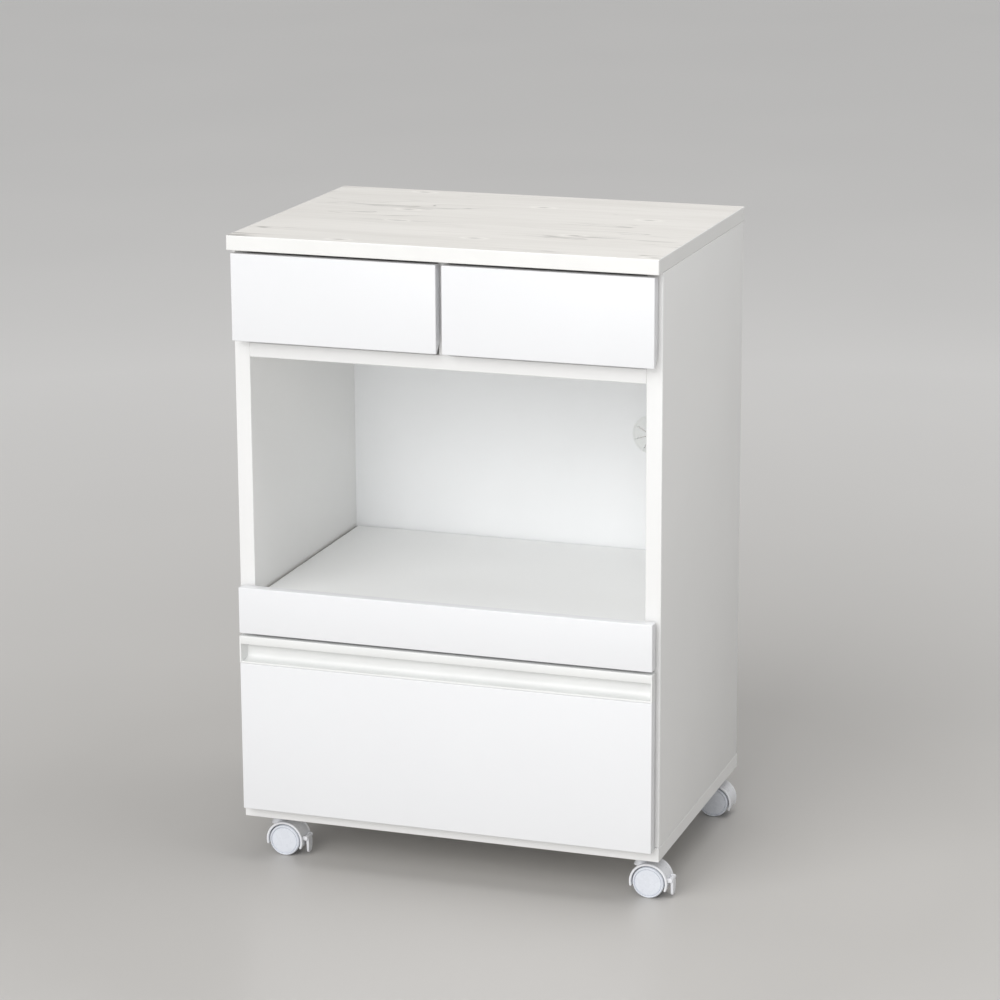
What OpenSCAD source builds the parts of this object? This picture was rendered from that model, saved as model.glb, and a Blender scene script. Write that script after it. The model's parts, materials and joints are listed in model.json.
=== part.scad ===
// Microwave stand on casters: two shallow drawers under the top, an open bay with a
// pull-out tray, and one deep drawer with a recessed handle along its upper edge.
// Millimetres. +X is the right-hand side seen from the front, +Y the back, +Z up.
// The floor is z = 0, and the origin is the middle of the footprint.

/* [Cabinet] */
// Width over the side panels
stand_w = 600; // [540:5:760]
// Height of the top surface above the floor
stand_h = 885; // [850:5:1000]
// Depth of the side panels, front edge to rear edge
side_d = 405; // [400:5:480]
// Thickness of the side panels
side_t = 22; // [18:1:25]
// Thickness of the top
top_t = 20; // [16:1:30]
// Thickness of the bottom board
bottom_t = 20; // [16:1:25]
// Thickness of the two fixed shelves
shelf_t = 20; // [16:1:25]
// Thickness of the upright between the upper drawers
partition_t = 15; // [12:1:20]
// Thickness of the back panels
back_t = 4; // [3:0.5:6]
// Space behind the back panels, up to the rear edges of the sides
back_recess = 17; // [8:1:24]
// How far the top and the bottom board reach behind the side panels
rear_lap = 4; // [0:1:8]
// How far the bottom board stands out in front of the side panels
bottom_proud = 2; // [0:0.5:3]
// Thickness of the edge band round the top
band_t = 1; // [0.6:0.1:2]
// Small chamfer on the edges of the boards
edge_ease = 0.8; // [0.4:0.1:1.5]

/* [Fronts] */
// Thickness of all the fronts
front_t = 16; // [14:1:20]
// Space between the cabinet and the back of the fronts
front_gap = 5; // [3:0.5:8]
// Distance from the cabinet's side to the edge of a front
front_inset = 5.5; // [3:0.5:10]
// Gap between the two upper fronts
pair_gap = 8; // [4:0.5:12]
// Gap above and below a front
reveal = 4; // [3:0.5:8]
// Height of the upper fronts
upper_front_h = 119; // [110:1:150]
// Height of the gap under the upper fronts
upper_foot_gap = 5; // [3:0.5:10]
// How far the tray's front stands above the tray
tray_lip = 14; // [6:1:20]
// Height of the lower front, with its handle
lower_front_h = 250; // [230:5:320]
// How far the lower front laps the bottom board
lower_lap = 2; // [0:0.5:6]
// Depth of the finger bevel behind the upper fronts' lower edges
bevel_d = 12; // [6:1:12]
// Height of that finger bevel
bevel_h = 14; // [8:1:16]

/* [Handle channel] */
// Height of the handle channel
channel_h = 39; // [34:1:50]
// Height of the lip that the fingers pull on
lip_h = 11.5; // [8:0.5:14]
// Thickness of the lip and the channel's top wall
lip_t = 2; // [1.5:0.5:3]
// Thickness of the channel's back wall
channel_wall = 1.5; // [1:0.5:2.5]
// Thickness of the channel's floor
channel_floor = 3; // [2:0.5:5]
// Radius between the channel's floor and its back wall
channel_r = 9; // [4:0.5:10]
// Thickness of a handle end cap at the front
cap_t = 2; // [1.5:0.5:4]
// How much thicker the cap is at the back of the recess
cap_slope = 5; // [2:0.5:8]

/* [Drawer boxes] */
// Thickness of the drawer sides and backs
box_t = 12; // [10:1:15]
// Thickness of the upper drawers' bottoms
thin_bottom_t = 3; // [2.5:0.5:5]
// Thickness of the lower drawer's bottom
deep_bottom_t = 5; // [3:0.5:9]
// Depth of the grooves that hold the drawer bottoms
groove_d = 5; // [3:0.5:6]
// Height of a drawer bottom above the lower edge of its sides
bottom_rise = 6; // [4:1:10]
// Length of the upper drawers' sides
upper_box_l = 340; // [300:5:370]
// Height of the upper drawers' sides
upper_box_h = 88; // [70:1:95]
// Side clearance of the upper drawers
upper_box_gap = 2; // [1:0.5:3]
// Length of the lower drawer's sides
lower_box_l = 350; // [320:5:370]
// Height of the lower drawer's sides
lower_box_h = 170; // [120:5:190]
// Height of the lower drawer's sides above the bottom board
lower_box_rise = 12; // [6:1:20]
// Diameter of the bumpers behind the fronts
bumper_d = 8; // [6:0.5:10]

/* [Guides and slides] */
// Height of the plastic guide strips
guide_h = 10; // [8:0.5:14]
// How far the guide strips stand out
guide_t = 7.5; // [5:0.5:8]
// Length of the guide strips
guide_l = 318; // [260:2:320]
// Height of the outer slide members
slide_h = 35; // [30:1:45]
// Width of the space that a slide fills
slide_t = 12.7; // [11:0.1:14]
// Length of the slides
slide_l = 345; // [300:5:350]
// Thickness of the slides' sheet steel
steel_t = 1.2; // [0.8:0.1:1.5]
// Height of the lower slides' middle line above the bottom board
lower_slide_rise = 75; // [40:1:120]

/* [Tray] */
// Thickness of the tray board
tray_t = 16; // [12:1:18]
// Gap above and below the tray's slides
tray_slide_gap = 2; // [1:0.5:4]
// Space between the tray board and the side panels
tray_side_gap = 3; // [2:0.5:8]
// Space between the tray board and the back panel
tray_back_gap = 3; // [2:0.5:10]

/* [Cable port] */
// Diameter of the hole in the back panel
port_d = 48; // [40:1:60]
// Distance of the port's middle from the right side panel
port_inset = 103; // [50:1:200]
// Height of the port above the tray
port_rise = 170; // [60:5:230]
// Width of the ring's flange round the hole
port_flange = 4.5; // [3:0.5:8]
// Wall of the ring's sleeve
port_wall = 3; // [2.5:0.5:4]
// Thickness of the rubber membrane
membrane_t = 1.2; // [0.8:0.1:2]
// Diameter of the hole in the middle of the membrane
membrane_hole_d = 10; // [8:0.5:16]
// Number of slits in the membrane
slit_count = 8; // [6:1:12]
// Width of a slit
slit_w = 0.8; // [0.5:0.1:1.5]

/* [Casters] */
// Height from the floor to the underside of the bottom board
caster_h = 61; // [59:1:75]
// Distance of the casters from the outside of the cabinet
caster_inset = 35; // [35:1:60]
// Wheel diameter
wheel_d = 44; // [40:1:46]
// Width of one wheel
wheel_w = 11.4; // [9:0.1:13]
// Distance of the axle from the swivel's axis
trail = 14; // [12:1:16]
// Thickness of the web between the wheels
web_t = 10; // [8:0.5:12]
// Thickness of the fender
fender_t = 2.7; // [2:0.1:3.5]
// Space between the wheels and the fender
fender_gap = 2.3; // [1.5:0.1:3]
// Diameter of the axle
axle_d = 6; // [5:0.5:7]
// Diameter of the kingpin
kingpin_d = 8; // [6:0.5:9]
// Side of the square caster plate
plate_s = 42; // [38:1:50]
// Thickness of the caster plate
plate_t = 2.5; // [2:0.5:3]
// Length of the brake levers
lever_l = 23; // [16:1:23]
// Width of the brake levers
lever_w = 15; // [10:1:16]

/* [Hidden] */
$fn = 64;

// Colours
white = [0.95, 0.95, 0.94];
soft_white = [0.90, 0.90, 0.89];
wood_grain = [0.80, 0.77, 0.72];
steel = [0.72, 0.73, 0.75];
grey_plastic = [0.80, 0.81, 0.83];

// Clearances
seat = 0.3;       // a part that rests or slides beside its seat
snug = 0.2;       // a thin panel in its groove
end_play = 0.5;   // a panel or tongue at the end of its groove
run = 0.05;       // a pin that turns in its bore
over = 1;         // how far a cutting solid passes a face

// Lines across the depth
face_y = -(front_t + front_gap + side_d + rear_lap) / 2;
front_back_y = face_y + front_t;
case_y = front_back_y + front_gap;
side_back_y = case_y + side_d;
top_back_y = side_back_y + rear_lap;
back_y = side_back_y - back_recess - back_t;

// Lines across the width
half_w = stand_w / 2;
inner_x = half_w - side_t;
front_x = half_w - front_inset;
side_mid_x = half_w - side_t / 2;
box_x = inner_x - slide_t;

// Lines up the height
base_z = caster_h;
floor_z = base_z + bottom_t;
under_top_z = stand_h - top_t;
low_z0 = floor_z - lower_lap;
low_z1 = low_z0 + lower_front_h;
channel_z = low_z1 - channel_h;
mid_z1 = low_z1;
mid_z0 = mid_z1 - shelf_t;
tray_z0 = low_z1 + reveal;
tray_under = mid_z1 + slide_h + 2 * tray_slide_gap;
tray_top = tray_under + tray_t;
tray_z1 = tray_top + tray_lip;
up_z1 = under_top_z - reveal;
up_z0 = up_z1 - upper_front_h;
shelf_z1 = up_z0 - upper_foot_gap;
shelf_z0 = shelf_z1 - shelf_t;

// Grooves for the back panels
panel_groove = 6;
panel_x = inner_x + panel_groove - end_play;

// Drawer boxes
box_ease = 0.6;     // rounding of their edges
over_bevel = 2;
guide_setback = 21;
upper_box_z = up_z0 + bevel_h + over_bevel;
guide_z = upper_box_z + upper_box_h / 2;
guide_y = front_back_y + guide_setback;
guide_groove_d = guide_t - upper_box_gap + 1;

// Lower drawer box
lower_box_z = floor_z + lower_box_rise;
lower_slide_z = floor_z + lower_slide_rise;

// Slide members, each nested in the next
slide_setback = 2;
outer_flange = 9.5;
mid_flange = 8;
inner_flange = 7.7;
mid_offset = 3;     // from the side panel to the middle member
tray_slide_z = mid_z1 + tray_slide_gap + slide_h / 2;
slide_y = case_y + slide_setback;
mid_h = slide_h - 2 * (steel_t + seat);
inner_h = mid_h - 2 * (steel_t + seat);
rail_gap = 4;
tray_rail_z = mid_z1 + rail_gap;

// Tongue of the handle channel in the top edge of the lower front
tongue_t = 2;
tongue_h = 8;

// Cable port
port_x = inner_x - port_inset;
port_z = tray_top + port_rise;
port_r = port_d / 2;
port_in_r = port_r - port_wall;
flange_t = 1.6;
port_tail = 1.5;          // how far the sleeve reaches behind the back panel
membrane_seat = 1.2;      // depth of the groove that holds the membrane
membrane_r = port_in_r + membrane_seat;
membrane_y = back_y + 1;
membrane_play = 0.1;
slit_turn = 17;
slit_margin = 1;

// Casters
wheel_r = wheel_d / 2;
hood_in_r = wheel_r + fender_gap;
hood_r = hood_in_r + fender_t;
wheel_gap = 0.6;
hood_w = web_t + 2 * (wheel_gap + wheel_w);
fender_round = 1.2;
wheel_cap_t = 1.5;
wheel_cap_r = wheel_r - 2.8;
cap_sink = 0.4;
rim_groove_w = 0.9;
rim_groove_d = 1.2;
tread_round = 2;
hollow_rim = 4;       // wall round the hollow in a wheel's inner face
hollow_d = 4;
fender_low = -24;
fender_end = 196;
hub_r = 7;
neck_r = 8;
race_r = 8.5;
race_h = 2;
neck_top = base_z - plate_t - race_h - seat;
kingpin_z = wheel_r + sqrt(pow(hood_in_r, 2) - pow(trail - kingpin_d / 2, 2)) + 1.2;
caster_x = half_w - caster_inset;
caster_front_y = case_y + caster_inset;
caster_rear_y = side_back_y - caster_inset;
plate_screw = plate_s / 2 - 5;

// Brake lever, measured from the axle
pivot_x = hood_r + 2.6;
pivot_z = 4;
barrel_r = 3;
trunnion_r = 1.5;
ear_w = 2.6;
ear_gap = 0.4;

// Screws
screw_r = 3.5;
screw_head_r = 5;
screw_head_h = 3;
socket_r = 2.3;
socket_h = 2.2;
screw_l = 50;
base_screw_front = 80;
base_screw_rear = 50;
slide_screw_r = 1.5;
slide_screw_l = 12;
slide_head_r = 3;
slide_head_h = 1.1;
slide_slot = [0.6, 3.2, 0.8];   // depth, length and width
wood_slot = [4, 1, 1];          // length, width and depth
slide_screw_inset = 30;
wood_screw_r = 2;
wood_screw_l = 16;
wood_head_r = 3.6;
wood_head_h = 1.8;

// Cam locks in the shelves' undersides
cam_r = 7.5;
cam_h = 12.5;
cam_edge = 34;
cam_setback = 60;
cam_slot_l = 8;
cam_slot_w = 1.8;
cam_slot_h = 3;

// Distance from a front's edge, or from its bevel, to a bumper's middle
bumper_edge = 12;
bevel_bumper = 6;

// ---------------------------------------------------------------- plain shapes

// Plain block between two corners
module block(lo, hi) translate(lo) cube(hi - lo);

// Rectangle with small chamfers at its corners
module eased_rect(w, h, e)
    polygon([[e, 0], [w - e, 0], [w, e], [w, h - e], [w - e, h], [e, h], [0, h - e], [0, e]]);

// Board between two corners, with all its edges eased
module board(lo, hi, ease = edge_ease) {
    d = hi - lo;
    intersection() {
        translate(lo) linear_extrude(d.z) eased_rect(d.x, d.y, ease);
        translate(lo) rotate([90, 0, 90]) linear_extrude(d.x) eased_rect(d.y, d.z, ease);
        translate([lo.x, hi.y, lo.z]) rotate([90, 0, 0]) linear_extrude(d.y)
            eased_rect(d.x, d.z, ease);
    }
}

// Carries a flat (Y, Z) profile along X, from x0 to x1
module along_x(x0, x1) translate([x0, 0, 0]) rotate([90, 0, 90]) linear_extrude(x1 - x0) children();

// Carries a flat (X, Z) profile along Y, from y0 to y1
module along_y(y0, y1) translate([0, y1, 0]) rotate([90, 0, 0]) linear_extrude(y1 - y0) children();

// Its children on the right, and mirrored on the left
module both_sides() {
    children();
    mirror([1, 0, 0]) children();
}

// Cylinder lying along Y, from y0 to y1
module rod_y(x, z, r, y0, y1) translate([x, y1, z]) rotate([90, 0, 0]) cylinder(r = r, h = y1 - y0);

// Cylinder lying along X, from x0 to x1
module rod_x(y, z, r, x0, x1) translate([x0, y, z]) rotate([0, 90, 0]) cylinder(r = r, h = x1 - x0);

// ---------------------------------------------------------------- cabinet

// Positions of the long screws that hold a side panel on the bottom board
base_screw_y = [for (k = [0, 1, 2])
    case_y + base_screw_front + k * (side_d - base_screw_front - base_screw_rear) / 2];

module base_screw_places() for (s = [-1, 1], y = base_screw_y) translate([s * side_mid_x, y, 0]) children();

module top_panel()
    color(wood_grain)
    difference() {
        block([-half_w + band_t, face_y + band_t, under_top_z], [half_w - band_t, top_back_y, stand_h]);
        block([-inner_x - panel_groove, back_y - snug, under_top_z - over],
            [inner_x + panel_groove, back_y + back_t + snug, under_top_z + panel_groove]);
    }

module top_edge_band()
    color(white)
    difference() {
        board([-half_w, face_y, under_top_z], [half_w, top_back_y, stand_h]);
        block([-half_w + band_t, face_y + band_t, under_top_z - over],
            [half_w - band_t, top_back_y + over, stand_h + over]);
    }

// Right side panel: groove for the back panels and bores for the base screws
module side_shape()
    difference() {
        board([inner_x, case_y, floor_z], [half_w, side_back_y, under_top_z]);
        block([inner_x - over, back_y - snug, floor_z - over],
            [inner_x + panel_groove, back_y + back_t + snug, under_top_z + over]);
        for (y = base_screw_y)
            translate([side_mid_x, y, floor_z - over]) cylinder(r = screw_r - 0.4, h = screw_l);
        slide_screw_places() rod_x(0, 0, slide_screw_r + run, inner_x - over, inner_x + slide_screw_l + 0.5);
    }

// Positions of the screws that hold the outer slide members on a side panel
module slide_screw_places()
    for (z = [tray_slide_z, lower_slide_z],
            y = [slide_y + slide_screw_inset, slide_y + slide_l / 2, slide_y + slide_l - slide_screw_inset])
        translate([0, y, z]) children();

module side_right() color(soft_white) side_shape();
module side_left() color(soft_white) mirror([1, 0, 0]) side_shape();

module bottom_panel()
    color(soft_white)
    difference() {
        board([-half_w, case_y - bottom_proud, base_z], [half_w, top_back_y, floor_z]);
        block([-inner_x - panel_groove, back_y - snug, floor_z - panel_groove],
            [inner_x + panel_groove, back_y + back_t + snug, floor_z + over]);
        base_screw_places() {
            translate([0, 0, base_z - over]) cylinder(r = screw_r + 0.1, h = bottom_t + 2 * over);
            translate([0, 0, base_z - over]) cylinder(r = screw_head_r + snug, h = over + screw_head_h + 0.1);
        }
        each_caster() plate_corners()
            translate([0, 0, base_z - over]) cylinder(r = wood_screw_r + run, h = wood_screw_l);
    }

// Fixed shelf with pockets for the cam locks in its underside
module shelf_shape(z0)
    difference() {
        board([-inner_x, case_y, z0], [inner_x, back_y, z0 + shelf_t]);
        cam_places(z0) translate([0, 0, -over]) cylinder(r = cam_r + 0.1, h = cam_h + over + snug);
    }

module drawer_shelf() color(soft_white) shelf_shape(shelf_z0);
module middle_shelf() color(soft_white) shelf_shape(mid_z0);

module partition()
    color(soft_white)
    board([-partition_t / 2, case_y, shelf_z1], [partition_t / 2, back_y, under_top_z]);

module back_panel(z0, z1) block([-panel_x, back_y, z0], [panel_x, back_y + back_t, z1]);

module back_panel_upper()
    color(white)
    difference() {
        back_panel((mid_z0 + mid_z1) / 2 + snug, under_top_z + panel_groove - end_play);
        rod_y(port_x, port_z, port_r + snug, back_y - over, back_y + back_t + over);
    }

module back_panel_lower()
    color(white)
    back_panel(floor_z - panel_groove + end_play, (mid_z0 + mid_z1) / 2 - snug);

module cam_places(z0)
    for (s = [-1, 1], y = [case_y + cam_setback, back_y - cam_setback])
        translate([s * (inner_x - cam_edge), y, z0]) children();

// Cam disc with a cross slot
module cam_lock()
    difference() {
        cylinder(r = cam_r, h = cam_h);
        for (a = [0, 90])
            rotate(a) translate([-cam_slot_l / 2, -cam_slot_w / 2, -over])
                cube([cam_slot_l, cam_slot_w, over + cam_slot_h]);
    }

module cam_locks()
    color(steel)
    for (z0 = [shelf_z0, mid_z0]) cam_places(z0) cam_lock();

module base_screws()
    color(steel)
    base_screw_places() translate([0, 0, base_z + 0.1])
        difference() {
            union() {
                cylinder(r = screw_head_r, h = screw_head_h);
                cylinder(r = screw_r, h = bottom_t - 1);
                cylinder(r = screw_r - 0.5, h = screw_l);
            }
            translate([0, 0, -over]) cylinder(r = socket_r, h = over + socket_h, $fn = 6);
        }

// Pan-head screws with a cross slot, through the slides' outer members into the side panels
module slide_screws()
    color(steel)
    both_sides() slide_screw_places() {
        head_x = inner_x - steel_t - slide_head_h;
        difference() {
            rod_x(0, 0, slide_head_r, head_x, inner_x - steel_t);
            for (a = [0, 90]) rotate([a, 0, 0])
                translate([head_x - over, -slide_slot[1] / 2, -slide_slot[2] / 2])
                    cube(slide_slot + [over, 0, 0]);
        }
        rod_x(0, 0, slide_screw_r, inner_x - steel_t - slide_head_h / 3, inner_x + slide_screw_l);
    }

// ---------------------------------------------------------------- cable port

module cable_port_ring()
    color(white)
    difference() {
        union() {
            rod_y(port_x, port_z, port_r + port_flange, back_y - flange_t, back_y);
            rod_y(port_x, port_z, port_r, back_y - flange_t, back_y + back_t + port_tail);
        }
        rod_y(port_x, port_z, port_in_r, back_y - flange_t - over, back_y + back_t + port_tail + over);
        rod_y(port_x, port_z, membrane_r + membrane_play, membrane_y - membrane_play,
            membrane_y + membrane_t + membrane_play);
    }

module cable_port_flaps()
    color(soft_white)
    difference() {
        rod_y(port_x, port_z, membrane_r, membrane_y, membrane_y + membrane_t);
        rod_y(port_x, port_z, membrane_hole_d / 2, membrane_y - over, membrane_y + membrane_t + over);
        for (k = [0 : slit_count - 1])
            translate([port_x, membrane_y - over, port_z]) rotate([0, slit_turn + k * 360 / slit_count, 0])
                translate([0, 0, -slit_w / 2])
                    cube([port_in_r - slit_margin, membrane_t + 2 * over, slit_w]);
    }

// ---------------------------------------------------------------- upper drawers

// Half of the front zone that one upper drawer fills
upper_x0 = pair_gap / 2;
upper_x1 = front_x;
upper_box_x0 = partition_t / 2 + upper_box_gap;
upper_box_x1 = inner_x - upper_box_gap;
upper_bottom_z = upper_box_z + bottom_rise;
upper_box_y1 = front_back_y + upper_box_l;

// Strip with rounded ends that stands out along +X from the plane x
module guide_strip(x)
    translate([x, 0, guide_z]) {
        block([0, guide_y + guide_h / 2, -guide_h / 2],
            [guide_t, guide_y + guide_l - guide_h / 2, guide_h / 2]);
        rod_x(guide_y + guide_h / 2, 0, guide_h / 2, 0, guide_t);
        rod_x(guide_y + guide_l - guide_h / 2, 0, guide_h / 2, 0, guide_t);
    }

module drawer_guides()
    color(grey_plastic)
    both_sides() {
        guide_strip(partition_t / 2);
        translate([inner_x, 0, 0]) mirror([1, 0, 0]) guide_strip(0);
    }

module upper_front()
    difference() {
        board([upper_x0, face_y, up_z0], [upper_x1, front_back_y, up_z1]);
        along_x(upper_x0 - over, upper_x1 + over)
            polygon([[front_back_y - bevel_d, up_z0 - 0.01], [front_back_y + over, up_z0 - 0.01],
                [front_back_y + over, up_z0 + bevel_h + over * bevel_h / bevel_d]]);
        block([upper_box_x0 + box_t - groove_d, front_back_y - groove_d, upper_bottom_z - snug],
            [upper_box_x1 - box_t + groove_d, front_back_y + over, upper_bottom_z + thin_bottom_t + snug]);
    }

// Drawer side between x0 and x1; out is the x of its outer face
module upper_side(x0, x1, out) {
    inward = out == x1 ? -1 : 1;
    difference() {
        board([x0, front_back_y, upper_box_z], [x1, upper_box_y1, upper_box_z + upper_box_h], box_ease);
        // groove that runs on the guide strip
        translate([out, 0, guide_z])
            block([-guide_groove_d, guide_y - 1, -guide_h / 2 - seat],
                [guide_groove_d, upper_box_y1 + over, guide_h / 2 + seat]);
        // groove for the drawer bottom
        translate([out + inward * box_t, 0, upper_bottom_z])
            block([-groove_d, front_back_y - over, -snug],
                [groove_d, upper_box_y1 + over, thin_bottom_t + snug]);
    }
}

module upper_sides() {
    upper_side(upper_box_x0, upper_box_x0 + box_t, upper_box_x0);
    upper_side(upper_box_x1 - box_t, upper_box_x1, upper_box_x1);
}

module upper_back()
    board([upper_box_x0 + box_t, upper_box_y1 - box_t, upper_bottom_z + thin_bottom_t + snug],
        [upper_box_x1 - box_t, upper_box_y1, upper_box_z + upper_box_h], box_ease);

module upper_bottom()
    block([upper_box_x0 + box_t - groove_d + end_play, front_back_y - groove_d + end_play, upper_bottom_z],
        [upper_box_x1 - box_t + groove_d - end_play, upper_box_y1, upper_bottom_z + thin_bottom_t]);

// Bumper on the back of a front, short of the cabinet by the seat clearance
module bumper(x, z) rod_y(x, z, bumper_d / 2, front_back_y, case_y - seat);

module upper_bumpers() {
    bumper(side_mid_x, up_z0 + bevel_h + bevel_bumper);
    bumper(side_mid_x, up_z1 - bumper_edge);
}

module right_drawer_front() color(white) upper_front();
module right_drawer_sides() color(soft_white) upper_sides();
module right_drawer_back() color(soft_white) upper_back();
module right_drawer_bottom() color(soft_white) upper_bottom();
module right_drawer_bumpers() color(grey_plastic) upper_bumpers();

module left_drawer_front() mirror([1, 0, 0]) right_drawer_front();
module left_drawer_sides() mirror([1, 0, 0]) right_drawer_sides();
module left_drawer_back() mirror([1, 0, 0]) right_drawer_back();
module left_drawer_bottom() mirror([1, 0, 0]) right_drawer_bottom();
module left_drawer_bumpers() mirror([1, 0, 0]) right_drawer_bumpers();

// ---------------------------------------------------------------- slides

// C-section with its web between x0 and x0 + steel_t, and flanges of width w towards dir
module c_section(x0, h, w, dir) {
    translate([x0, -h / 2]) square([steel_t, h]);
    for (z = [-h / 2, h / 2 - steel_t])
        translate([dir > 0 ? x0 : x0 + steel_t - w, z]) square([w, steel_t]);
}

// Slide members on both sides of the stand, with the middle line at height z
module slide_pair(z, x0, h, w, dir)
    both_sides() translate([0, 0, z]) along_y(slide_y, slide_y + slide_l) c_section(x0, h, w, dir);

module slide_outer(z)
    difference() {
        slide_pair(z, inner_x - steel_t, slide_h, outer_flange, -1);
        both_sides() slide_screw_places()
            rod_x(0, 0, slide_screw_r + 2 * run, inner_x - steel_t - over, inner_x + over);
    }
module slide_mid(z) slide_pair(z, inner_x - mid_offset - steel_t, mid_h, mid_flange, -1);
module slide_inner(z) slide_pair(z, box_x, inner_h, inner_flange, 1);

module tray_slide_outer() color(steel) slide_outer(tray_slide_z);
module tray_slide_mid() color(steel) slide_mid(tray_slide_z);
module tray_slide_inner() color(steel) slide_inner(tray_slide_z);
module lower_slide_outer() color(steel) slide_outer(lower_slide_z);
module lower_slide_mid() color(steel) slide_mid(lower_slide_z);
module lower_slide_inner() color(steel) slide_inner(lower_slide_z);

// ---------------------------------------------------------------- tray

module tray_front() color(white) board([-front_x, face_y, tray_z0], [front_x, front_back_y, tray_z1]);

module tray_board()
    color(soft_white)
    board([-inner_x + tray_side_gap, front_back_y, tray_under],
        [inner_x - tray_side_gap, back_y - tray_back_gap, tray_top]);

module tray_rails()
    color(soft_white)
    both_sides()
        board([box_x - box_t, front_back_y, tray_rail_z], [box_x, slide_y + slide_l, tray_under], box_ease);

module tray_bumpers()
    color(grey_plastic)
    both_sides() for (z = [tray_z0 + bumper_edge, tray_z1 - bumper_edge]) bumper(side_mid_x, z);

// ---------------------------------------------------------------- lower drawer

lower_bottom_z = lower_box_z + bottom_rise;
lower_box_y1 = front_back_y + lower_box_l;
lower_box_top = lower_box_z + lower_box_h;
tongue_y = (face_y + front_back_y - tongue_t) / 2;

module lower_drawer_front()
    color(white)
    difference() {
        board([-front_x, face_y, low_z0], [front_x, front_back_y, channel_z]);
        // groove for the handle channel's tongue
        block([-front_x + cap_t - end_play, tongue_y - snug, channel_z - tongue_h - end_play],
            [front_x - cap_t + end_play, tongue_y + tongue_t + snug, channel_z + over]);
        // groove for the drawer bottom
        block([-box_x + box_t - groove_d, front_back_y - groove_d, lower_bottom_z - snug],
            [box_x - box_t + groove_d, front_back_y + over, lower_bottom_z + deep_bottom_t + snug]);
    }

// Hollow of the handle channel, as a (Y, Z) profile shrunk by s
module channel_hollow(s = 0) {
    depth = front_t - channel_wall - s;
    r = channel_r - s;
    z0 = channel_z + channel_floor + s;
    z1 = low_z1 - lip_h - s;
    translate([face_y - over, z0 + r]) square([depth + over, z1 - z0 - r]);
    translate([face_y - over, z0]) square([depth + over - r, r]);
    translate([face_y + depth - r, z0 + r]) circle(r);
}

// Pocket behind the lip, as a (Y, Z) profile
module lip_pocket()
    translate([face_y + lip_t, low_z1 - lip_h - over])
        square([front_t - channel_wall - lip_t, lip_h - lip_t + over]);

module channel_outline() translate([face_y, channel_z]) eased_rect(front_t, channel_h, edge_ease);

module handle_channel()
    color(white)
    along_x(-front_x + cap_t, front_x - cap_t) {
        difference() {
            channel_outline();
            channel_hollow();
            lip_pocket();
            // room for the rounded lower edge of the lip
            translate([face_y - over, low_z1 - lip_h - over]) square([lip_t + 2 * over, lip_t / 2 + over]);
        }
        translate([face_y + lip_t / 2, low_z1 - lip_h + lip_t / 2]) circle(lip_t / 2);
        translate([tongue_y, channel_z - tongue_h]) square([tongue_t, tongue_h + channel_floor / 2]);
    }

// End cap: a plate over the end of the channel, and a wedge that closes its hollow
module handle_cap() {
    along_x(front_x - cap_t, front_x) channel_outline();
    intersection() {
        along_x(front_x - cap_t - cap_slope, front_x - cap_t / 2) channel_hollow(0.15);
        translate([0, 0, channel_z]) linear_extrude(channel_h)
            polygon([[front_x - cap_t, face_y + 0.5], [front_x, face_y + 0.5],
                [front_x, front_back_y], [front_x - cap_t - cap_slope, front_back_y]]);
    }
}

module handle_caps() color(white) both_sides() handle_cap();

module lower_drawer_sides()
    color(soft_white)
    both_sides()
        difference() {
            board([box_x - box_t, front_back_y, lower_box_z], [box_x, lower_box_y1, lower_box_top], box_ease);
            block([box_x - box_t - over, front_back_y - over, lower_bottom_z - snug],
                [box_x - box_t + groove_d, lower_box_y1 + over, lower_bottom_z + deep_bottom_t + snug]);
        }

module lower_drawer_back()
    color(soft_white)
    board([-box_x + box_t, lower_box_y1 - box_t, lower_bottom_z + deep_bottom_t + snug],
        [box_x - box_t, lower_box_y1, lower_box_top], box_ease);

module lower_drawer_bottom()
    color(soft_white)
    block([-box_x + box_t - groove_d + end_play, front_back_y - groove_d + end_play, lower_bottom_z],
        [box_x - box_t + groove_d - end_play, lower_box_y1, lower_bottom_z + deep_bottom_t]);

module lower_drawer_bumpers()
    color(grey_plastic)
    both_sides() for (z = [floor_z + bumper_edge, channel_z - bumper_edge]) bumper(side_mid_x, z);

// ---------------------------------------------------------------- casters

// Front left, front right, rear left, rear right: place, and how far it has swivelled
CASTERS = [[-caster_x, caster_front_y, 0], [caster_x, caster_front_y, 0],
    [-caster_x, caster_rear_y, 180], [caster_x, caster_rear_y, 0]];

// Puts its children at caster k, with the swivel's axis at the origin and the trail along +X
module at_caster(k)
    translate([CASTERS[k][0], CASTERS[k][1], 0]) rotate([0, 0, CASTERS[k][2]]) children();

module each_caster() for (k = [0 : 3]) translate([CASTERS[k][0], CASTERS[k][1], 0]) children();

module plate_corners()
    for (x = [-plate_screw, plate_screw], y = [-plate_screw, plate_screw]) translate([x, y, 0]) children();

// Cylinder on the axle's line, between y0 and y1
module on_axle(r, y0, y1) rod_y(trail, wheel_r, r, y0, y1);

// Square plate with rounded corners
module plate_outline() {
    r = 4;
    difference() {
        square(plate_s, center = true);
        for (a = [0, 90, 180, 270]) rotate(a) translate([plate_s / 2 - r, plate_s / 2 - r]) difference() {
            square(r + over);
            circle(r);
        }
    }
}

module caster_plates()
    color(steel)
    each_caster() {
        difference() {
            translate([0, 0, base_z - plate_t]) linear_extrude(plate_t) plate_outline();
            plate_corners() translate([0, 0, base_z - plate_t - over])
                cylinder(r = wood_screw_r + 0.25, h = plate_t + 2 * over);
        }
        translate([0, 0, base_z - plate_t - race_h]) cylinder(r = race_r, h = race_h + over);
        translate([0, 0, kingpin_z]) cylinder(r = kingpin_d / 2, h = base_z - plate_t - kingpin_z + over);
    }

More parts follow.
